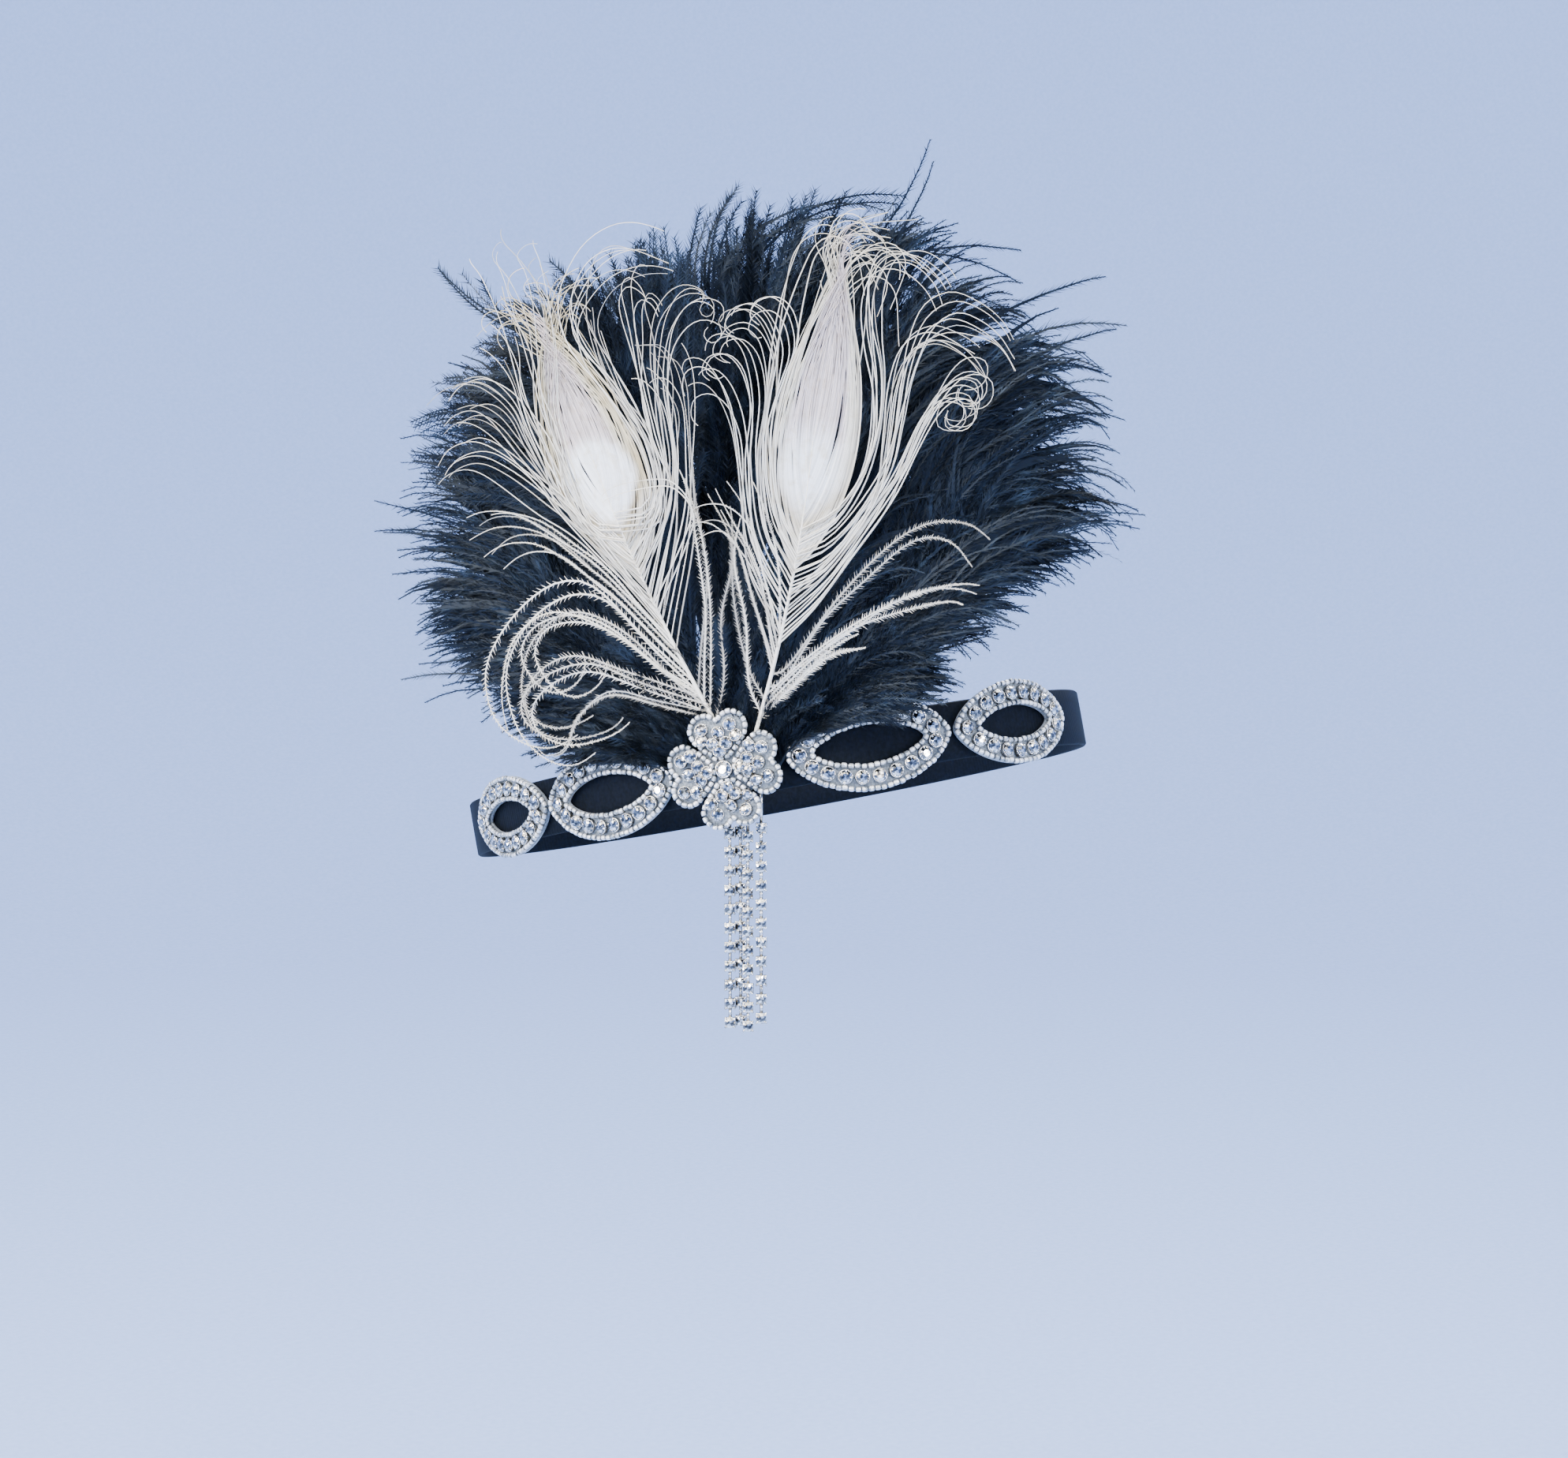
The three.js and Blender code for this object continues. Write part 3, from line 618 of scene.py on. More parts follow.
def makeBrooch():
    look, low, high = broochShape, broochSeat, broochSeat + stack["backing"]
    outline = petalOutline()
    parts, stones = [], []
    for k in range(look["petals"]):
        turn = k / look["petals"] * 2 * math.pi
        edge = turned(outline, turn) * look["overhang"]
        core = turned(np.array([[look["core"], 0.0]]), turn)
        rings = [(edge, low), (edge, high - 0.1), (edge * 0.8 + core * 0.2, high + 0.3),
                 (edge * 0.02 + core * 0.98, high + 0.5)]
        parts.append(sheet(onBrooch, rings))
        parts.append(beadRow(onBrooch, edge, look["beadPitch"], high + look["beadRise"]))
        for ring, share in look["stones"]:
            angle = turn + math.radians(look["lobeAngle"] * share)
            stones.append(look["lobeRing"] * ring * np.array([math.cos(angle), math.sin(angle)]))
    stones = np.array(stones) * look["overhang"] + random.normal(0, look["wander"], (len(stones), 2))
    seats = framesOn(onBrooch, stones, unit(stones), high + look["stoneRise"])
    seats[:, 0] += random.uniform(*look["levels"], (len(stones), 1)) * broochZ
    parts += setStones(seats, look["stoneRadius"], look["stoneTip"])
    centre = framesOn(onBrooch, np.zeros((1, 2)), np.array([[1.0, 0]]), high + look["centreRise"])
    parts += setStones(centre, look["centreRadius"], 0)
    hubSides = 12
    angles = np.arange(hubSides) / hubSides * 2 * math.pi
    hub = np.stack([np.cos(angles), np.sin(angles)], 1)
    rings = [(hub * look["hubRadius"], low), (hub * look["hubRadius"], high - 0.4), (hub * 0.2, high - 0.2)]
    parts.append(sheet(onBrooch, rings))
    makePiece("flowerBrooch", parts, trimMaterials, "brooch")


makeBrooch()


# Chains

chainLook = {
    "pitch": 4.97, "stones": 11, "stoneRadius": 1.36, "swing": 6.0,
    "top": -6.0, "lead": 10.6,  # from the band's middle to the chain's end, and from there to the first stone
    "bar": 0.5, "stoneFront": 0.3,  # thickness of a chain, and how far its stones stand before its middle
    "linkWidth": 0.85, "linkDepth": 0.4, "linkBack": 0.25, "hold": 0.8,  # a link ends this share into its cup
}
chains = [  # place along the band, drop in pitches, row 0 on the band and 1 on the brooch's back
    {"node": "chain_1", "across": -0.4, "drop": 0.0, "row": 1},
    {"node": "chain_2", "across": 1.8, "drop": 0.0, "row": 0},
    {"node": "chain_3", "across": 4.4, "drop": 0.35, "row": 1},
    {"node": "chain_4", "across": 7.9, "drop": 0.05, "row": 1},
]


def rodPart(start, end, side, front, width, depth):
    # a flat link between two points
    a, b = side * width / 2, front * depth / 2
    ring = np.array([a, a * 0.5 + b, b - a * 0.5, -a, -b - a * 0.5, a * 0.5 - b])
    points = np.concatenate([start + ring, end + ring])
    i = np.arange(6)
    sides = np.stack([i, (i + 1) % 6, (i + 1) % 6 + 6, i + 6], 1)
    # painted shade: the link's sides and back are darker, its front bright
    shade = grey(np.tile([0.35, 1.0, 1.0, 0.35, 0.3, 0.3], 2))
    return part(points, [sides, np.array([[5, 4, 3, 2, 1, 0], [6, 7, 8, 9, 10, 11]])], 1, tint=shade)


def makeChain(row):
    look = chainLook
    half, back = look["bar"] / 2, look["linkBack"] * fanOut
    out = broochSeat - stack["seat"] - half if row["row"] else 1.5 * stack["seat"] + half
    top = onLoop(row["across"], look["top"], out)
    lead = look["lead"] + row["drop"] * look["pitch"]
    centres = top - (lead + np.arange(look["stones"]) * look["pitch"])[:, None] * fanUp
    frames = np.stack([centres + look["stoneFront"] * fanOut] + [
        np.broadcast_to(axis, centres.shape) for axis in (fanAcross, fanUp, fanOut)], 1)
    frames = wobbled(frames, look["swing"])
    radius = look["stoneRadius"]
    scale = np.full(len(frames), radius)
    parts = [copies(gemShape, spun(frames, np.full(len(frames), math.pi / 8)), scale),
             copies(squareCup, frames, scale)]
    ends = [top] + list(centres)
    hold = look["hold"] * radius * fanUp
    for k in range(len(centres)):
        start = ends[k] - (hold if k else 0)
        parts.append(rodPart(start - back, centres[k] + hold - back, fanAcross, fanOut, look["linkWidth"],
                             look["linkDepth"]))
    name = row["node"].replace("chain_", "cupChain")
    makePiece(name, parts, trimMaterials, row["node"])


for row in chains:
    makeChain(row)
print("trim made")


# Feathers


def table(columns, *rows):
    return [dict(zip(columns, row)) for row in rows]


def turns(headings):
    # unit steps in the fan for headings in degrees
    return np.stack([np.sin(np.radians(headings)), np.cos(np.radians(headings))], -1)


def bearings(steps):
    # headings in degrees of steps in the fan
    return np.degrees(np.arctan2(steps[..., 0], steps[..., 1]))


def headingRows(start, end, bend, steps):
    # headings in degrees from the upright at the middle of each step
    share = ((np.arange(steps) + 0.5) / steps) ** bend
    start, end = np.atleast_1d(start), np.atleast_1d(end)
    return start[:, None] + (end - start)[:, None] * share[None]


def stepShares(steps, first, last):
    # shares of the length at the points between steps that shrink from root to tip
    weights = np.linspace(first, last, steps)
    return np.concatenate([[0], np.cumsum(weights)]) / weights.sum()


def traced(roots, headings, lengths, shares=None):
    # flat paths that set out from the roots, one heading for each step
    stepping = np.diff(np.linspace(0, 1, headings.shape[1] + 1) if shares is None else shares)
    step = turns(headings) * (np.asarray(lengths)[:, None] * stepping)[..., None]
    path = np.concatenate([np.zeros((len(step), 1, 2)), np.cumsum(step, 1)], 1)
    return roots[:, None] + path


def alongPath(path, share):
    # points of a flat path at shares of its length
    return pointsAt(share, np.linspace(0, 1, len(path)), path)


def barbFrames(centre):
    # tangent, side and normal along each barb, its side in the fan's plane
    tangent = np.empty_like(centre)
    tangent[:, 1:-1] = centre[:, 2:] - centre[:, :-2]
    tangent[:, 0] = centre[:, 1] - centre[:, 0]
    tangent[:, -1] = centre[:, -1] - centre[:, -2]
    tangent = unit(tangent)
    side = unit(np.cross(tangent, fanOut))
    return tangent, side, np.cross(side, tangent)


def rolled(frames, roll):
    # the same frames rolled about each barb's own line
    tangent, side, normal = frames
    roll = np.asarray(roll)[:, None, None]
    return tangent, side * np.cos(roll) + normal * np.sin(roll), normal * np.cos(roll) - side * np.sin(roll)


def stripFaces(count, steps, columns):
    # faces of many strips that are all made alike
    shift = np.arange(count)[:, None, None] * steps * columns
    return (gridFaces(steps, columns)[None] + shift).reshape(-1, 4)


def ribbons(centre, frames, width, tint, edge, belly):
    # a ribbon along each barb, raised by its belly in the middle and shaded at its edges
    _, side, normal = frames
    across = side * width[..., None] / 2
    middle = centre + normal * (width * belly)[..., None]
    points = np.stack([centre - across, middle, centre + across], 2)
    colour = tint[:, :, None] * np.stack([edge, np.ones_like(edge), edge], -1)[..., None]
    return part(points, [stripFaces(*centre.shape[:2], 3)], tint=colour.reshape(-1, 3))


def flatRibbons(centre, frames, width, tint):
    across = frames[1] * width[..., None] / 2
    points = np.stack([centre - across, centre + across], 2)
    tint = np.repeat(tint[:, :, None], 2, 2).reshape(-1, 3)
    return part(points, [stripFaces(*centre.shape[:2], 2)], tint=tint)


def barbules(centre, frames, perBarb, length, angle, width, spread, tint):
    # single-triangle hairs on both sides of each barb
    count, steps = centre.shape[:2]
    share = (np.arange(perBarb) + random.uniform(0, 1, (count, perBarb))) / perBarb * 0.995
    at = share * (steps - 1)
    low = np.minimum(at.astype(int), steps - 2)
    rest = (at - low)[..., None]
    rows = np.arange(count)[:, None]
    pick = lambda values: values[rows, low] * (1 - rest) + values[rows, low + 1] * rest
    base, t, s, n = (pick(values) for values in (centre, *frames))
    sign = np.where(np.arange(perBarb) % 2, 1.0, -1.0)[None, :, None]
    turn = np.radians(angle + random.normal(0, 6, (count, perBarb)))[..., None]
    direction = t * np.cos(turn) + sign * s * np.sin(turn) + n * random.normal(0, spread, (count, perBarb, 1))
    reach = (length(share) * random.uniform(0.7, 1.15, (count, perBarb)))[..., None]
    points = np.stack([base - t * width / 2, base + t * width / 2, base + unit(direction) * reach], 2)
    faces = np.arange(count * perBarb * 3).reshape(-1, 3)
    return part(points, [faces], smooth=False, tint=np.repeat(pick(tint)[:, :, None], 3, 2).reshape(-1, 3))


def shaft(path, layer, rise, radii, tint):
    # a round tapered quill along a flat path
    sides = 8
    centre = inFan(path[None], layer, rise, 0.0)
    _, side, normal = barbFrames(centre)
    angles = np.arange(sides) / sides * 2 * math.pi
    ring = (side[0][:, None] * np.cos(angles)[None, :, None]
            + normal[0][:, None] * np.sin(angles)[None, :, None])
    points = centre[0][:, None] + ring * radii[:, None, None]
    return part(points, [gridFaces(len(path), sides, closeColumns=True)], tint=tint)


def smoothStep(low, high, value):
    share = np.clip((value - low) / (high - low), 0, 1)
    return share * share * (3 - 2 * share)


def between(pair, share):
    return pair[0] + (pair[1] - pair[0]) * share


ostrichLook = {
    "length": 150.0, "quillStep": 3.0, "quillFoot": -4.0, "bare": 4.0, "bend": 1.4, "quillSteps": 48,
    "lock": (36.0, 60.0), "fromFoot": 0.75,  # length of a lock, and at most this share of its tip's distance
    # where the locks' tips lie, as shares of the fan's edge, and how many lie far out or far in
    "innermost": 0.2,
    "edgeLocks": 0.4, "edgeReach": (0.84, 1.0), "innerLocks": 0.13, "innerReach": (0.1, 0.36),
    "misfit": (14.0, 22.0),  # mm and degrees that count the same where a lock's place on the quill is chosen
    # lockTone paints light: each lock gets a random tone, so that some read as lit and others as shaded
    "lockTone": (0.15, 2.5), "lockSwing": 12.0, "lockRoll": 0.5, "lockPlace": 0.75,
    "barbsInLock": 8, "steps": 12, "barbWidth": 1.0, "bendMost": 60.0,
    "rootSpread": 0.035, "tipSpread": 1.9, "waver": 0.13, "tipWaver": 1.5,
    "stray": {"heading": 6.0, "place": 0.14, "roll": 0.25, "tone": (0.8, 1.2)},  # single barbs within a lock
    # one barb of each lock is drawn as a soft strip behind the others, for the down, made dark as painted
    # shade
    "shadedDown": {"width": 3.4, "tone": 0.22, "place": -0.3, "roll": 0.4},
    "fallLeft": 64.0, "fallRight": 78.0, "fallRadius": 120.0,  # how far loose barbs hang over, at this radius
    "barbules": 104, "barbuleLength": 4.2, "barbuleWidth": 0.45,  # coarser than the real fluff
    "fill": 0.38,  # half a plume's thickness, as a share of the layer's
}
tufts = {  # how evenly a plume's barbs end, and its fluff near their tips
    "square": {"reach": (0.88, 1.03), "fluff": 0.62, "angle": 36.0},
    "loose": {"reach": (0.76, 1.08), "fluff": 0.24, "angle": 25.0},
}
fanEdge = {  # how far the plumes reach, by heading from the upright
    "heading": (-92, -84, -78, -71, -58, -46, -28, -12, 10, 20, 32, 46, 54, 61, 67, 80),
    "reach": (54, 63, 71, 87, 102, 118, 132, 137, 149, 149, 141, 133, 127, 98, 66, 46),
}
leafTops = {  # no lock ends below this line, so that the trim stays clear
    "across": (-60, -50, -44, -36, -28, -12, 12, 28, 49, 61, 72, 84),
    "up": (7, 2, -2, 0, 2, 6, 13, 18, 15, 31, 44, 54),
}
plumes = table(  # headings of the quill at root and tip, its reach as a share, headings that its locks fill
    ("node", "layer", "start", "end", "reach", "sector", "locks", "tuft"),
    ("plume_low_left", 0, -64, -78, 0.42, (-92, -60), 100, "loose"),
    ("plume_left", 1, -44, -60, 0.53, (-74, -34), 84, "loose"),
    ("plume_high_left", 2, -22, -20, 0.78, (-48, -4), 104, "square"),
    ("plume_top", 0, -6, 15, 0.8, (-16, 21), 92, "square"),
    ("plume_high_right", 1, 14, 48, 0.83, (12, 48), 92, "loose"),
    ("plume_right", 2, 30, 70, 0.66, (31, 62), 84, "loose"),
    ("plume_low_right", 3, 30, 80, 0.37, (54, 74), 70, "loose"))
wisps = table(  # long single barbs that stand out of the mass: root in the fan, headings at root and tip
    ("node", "root", "from", "to", "length", "count"),
    ("plume_top", (4, 122), 38, 108, 54, 5),
    ("plume_top", (-6, 112), -10, 30, 30, 6),
    ("plume_high_right", (30, 116), 52, 16, 46, 2),
    ("plume_high_right", (28, 128), 64, 104, 48, 4),
    ("plume_high_right", (66, 100), 56, 104, 36, 6),
    ("plume_high_left", (-38, 104), -84, -30, 42, 4),
    ("plume_left", (-52, 48), -62, -98, 40, 10),
    ("plume_low_left", (-44, 24), -70, -104, 36, 8))


def combed(points):
    # the heading that loose barbs come to in the fan: outwards, and further down with distance
    around = bearings(points)
    fall = np.where(around > 0, ostrichLook["fallRight"], -ostrichLook["fallLeft"])
    fall = fall * np.clip((np.abs(around) - 8) / 25, 0, 1)
    return around + fall * np.hypot(points[:, 0], points[:, 1]) / ostrichLook["fallRadius"]


def arched(roots, tips, start, end, reach, steps):
    # smooth paths from roots to tips with the given headings at both ends, drawn to a share of their length
    chord = np.linalg.norm(tips - roots, axis=1)[:, None]
    stiffness = (1.15, 0.95)  # how long the curve keeps its heading at the root and at the tip
    leave, arrive = turns(start) * chord * stiffness[0], turns(end) * chord * stiffness[1]
    t = (np.linspace(0, 1, steps + 1)[None] * reach[:, None])[..., None]
    first, last = roots[:, None], tips[:, None]
    return (first * (2 * t**3 - 3 * t**2 + 1) + leave[:, None] * (t**3 - 2 * t**2 + t)
            + last * (3 * t**2 - 2 * t**3) + arrive[:, None] * (t**3 - t**2))


def lockTips(row, count):
    # the tips of the locks, spread evenly over the plume's share of the fan
    turn = np.arange(count) + random.uniform()
    steps = (0.7549, 0.5698)  # with these steps the tips spread evenly over a surface
    around = between(row["sector"], (turn * steps[0]) % 1)
    edge = np.interp(around, fanEdge["heading"], fanEdge["reach"])
    look = ostrichLook
    low = look["innermost"] ** 2
    share = np.sqrt(low + (1 - low) * ((turn * steps[1]) % 1) ** 0.8)
    kind = random.uniform(0, 1, count)
    share = np.where(kind < look["edgeLocks"], random.uniform(*look["edgeReach"], count), share)
    share = np.where(kind > 1 - look["innerLocks"], random.uniform(*look["innerReach"], count), share)
    tips = turns(around) * (edge * share)[:, None]
    lowest = np.interp(tips[:, 0], leafTops["across"], leafTops["up"]) + np.abs(random.normal(0, 3, count))
    tips[:, 1] = np.maximum(tips[:, 1], lowest)
    return tips


def makePlume(row, order):
    look, shadedDown, stray, tuft = ostrichLook, ostrichLook["shadedDown"], ostrichLook["stray"], tufts[row["tuft"]]
    foot = np.array([(order - (len(plumes) - 1) / 2) * look["quillStep"], look["quillFoot"]])
    length = row["reach"] * look["length"]
    headings = headingRows(row["start"], row["end"], look["bend"], look["quillSteps"])
    spine = traced(foot[None], headings, [length])[0]
    count, each, steps = row["locks"], look["barbsInLock"], look["steps"]
    tips = lockTips(row, count)
    # each lock starts from the quill where its length and its lie suit the place of its tip
    toTips = tips[:, None] - spine[None]
    away = np.hypot(toTips[..., 0], toTips[..., 1])
    lie = 0.5 * (combed(tips) + bearings(tips))
    lockLength = np.minimum(random.uniform(*look["lock"], count), look["fromFoot"] * away[:, 0])
    misfit = (((away - lockLength[:, None]) / look["misfit"][0]) ** 2
              + ((bearings(toTips) - lie[:, None]) / look["misfit"][1]) ** 2)
    rooted = misfit.argmin(1) / (len(spine) - 1)
    place, roll = random.uniform(-1, 1, count), random.normal(0, look["lockRoll"], count)
    # painted light and shade: a random tone for each lock, some bright as if lit, some dark as if shaded
    darkest, brightness = look["lockTone"]
    tone = random.uniform(darkest, 1.0, count) ** 2 * brightness
    swing = random.normal(0, look["lockSwing"], count)
    # each lock is a bundle of barbs that draw together towards its tip
    spread = lambda values: np.repeat(values, each, axis=0)
    draw = lambda size: random.normal(0, size, count * each)
    share = np.clip(spread(rooted) + draw(look["rootSpread"]), look["bare"] / length, 1)
    tips = spread(tips) + random.normal(0, look["tipSpread"], (count * each, 2))
    roots = alongPath(spine, share)
    bearing = bearings(tips - roots)
    bend = np.clip(combed(tips) - bearing, -look["bendMost"], look["bendMost"]) + spread(swing)
    start, end = bearing - 0.8 * bend + draw(stray["heading"]), bearing + bend + draw(stray["heading"])
    flat = arched(roots, tips, start, end, random.uniform(*tuft["reach"], count * each), steps)
    place, roll = spread(place) * look["lockPlace"] + draw(stray["place"]), spread(roll) + draw(stray["roll"])
    place[::each], roll[::each] = place[::each] + shadedDown["place"], roll[::each] * shadedDown["roll"]
    tone = spread(tone) * random.uniform(*stray["tone"], count * each)
    # painted shade: the down strip behind each lock is darkened
    tone[::each] *= shadedDown["tone"]
    for item in wisps:
        if item["node"] == row["node"]:
            n = item["count"]
            more = lambda values, middle, size: np.concatenate([values, middle + random.normal(0, size, n)])
            first, last = item["from"] + random.normal(0, 6, n), item["to"] + random.normal(0, 10, n)
            root = np.array(item["root"]) + random.normal(0, 4, (n, 2))
            lengths = item["length"] * random.uniform(0.8, 1.1, n)
            flat = np.concatenate([flat, traced(root, headingRows(first, last, 1.0, steps), lengths)])
            place, roll, tone = more(place, 0.6, 0.2), more(roll, 0, 0.4), more(tone, 0.8, 0.1)
    total = len(flat)
    flat = flat + np.cumsum(random.normal(0, look["waver"], flat.shape), 1)
    radius = np.hypot(flat[..., 0], flat[..., 1])
    run = np.linspace(0, 1, steps + 1)[None]
    lift = look["fill"] * (layerDepth(radius) + 0.3) * np.clip(place, -1, 1)[:, None] * np.minimum(1, run * 4)
    lift = lift + random.normal(0, look["tipWaver"], total)[:, None] * run**2
    centre = inFan(flat, row["layer"], quillRise, lift)
    frames = rolled(barbFrames(centre), roll)
    tint = tone[:, None, None] * np.ones((1, steps + 1, 3))
    isDown = (np.arange(total) < count * each) & (np.arange(total) % each == 0)
    width = look["barbWidth"] * (1 - 0.75 * run)
    width = width + shadedDown["width"] * isDown[:, None] * np.sin(math.pi * run**0.8) ** 2
    fluff = lambda s: look["barbuleLength"] * (tuft["fluff"] + (1 - tuft["fluff"]) * (1 - s**3))
    quill = np.linspace(stack["quill"] / 2, 0.15, len(spine))
    parts = [
        flatRibbons(centre, frames, width, tint),
        barbules(centre, frames, look["barbules"], fluff, tuft["angle"], look["barbuleWidth"], 0.2, tint),
        shaft(spine, row["layer"], quillRise, quill, np.ones(3)),
    ]
    makePiece("ostrich" + joinedName(row["node"]), parts, [ostrich], row["node"])


for order, row in enumerate(plumes):
    makePlume(row, order)
print("plumes made")


peacockLook = {
    "pastEye": 10.0,  # the stem ends this far above the eye's middle
    "steps": 40, "closedWidth": 0.44, "openWidth": 0.33, "belly": 0.22, "edge": 0.5, "eyeEdge": 0.84,
    "eyeWidth": 10.0, "eyeHeight": 12.0, "eyeRise": 1.6, "eyePoint": 22.0, "dropHalf": 9.0,
    "lowest": 23.0, "closedFuzz": 0.16, "closing": 1.66, "inClump": 4,  # the barbs that close over the eye
    # darker and darkBarbs: a share of barbs darkened, partly brownish barbs and partly painted shade
    "tone": (-0.06, 0.14), "darker": 0.4, "darkBarbs": 0.2,
    "barbules": 110, "barbuleWidth": 0.18,
    "ivory": "#FBF3E0", "cream": "#DCC897", "ring": "#BDA672", "white": "#FBFBF7", "mauve": "#D9C5C4",
}
eyeFeathers = [  # the stem in the fan, the barbs that close over the eye, and how far their tips run on
    {"node": "peacock_left", "layer": 3, "foot": (-1.6, 8.0), "start": -30, "end": -20, "stem": 70.5,
     "axis": -21, "dropTop": 38, "dropOpen": 60, "closed": 74, "blur": 0.14, "creamed": 0.5,
     "onward": (5, 24), "sweep": (-60, 60), "hook": (-200, 200)},
    {"node": "peacock_right", "layer": 4, "foot": (6.0, 8.0), "start": 16, "end": 6, "stem": 69.0,
     "axis": 9, "dropTop": 49, "dropOpen": 45, "closed": 76, "blur": 0.4, "creamed": 0.16,
     "onward": (8, 30), "sweep": (70, 160), "hook": (-10, 60)},
]
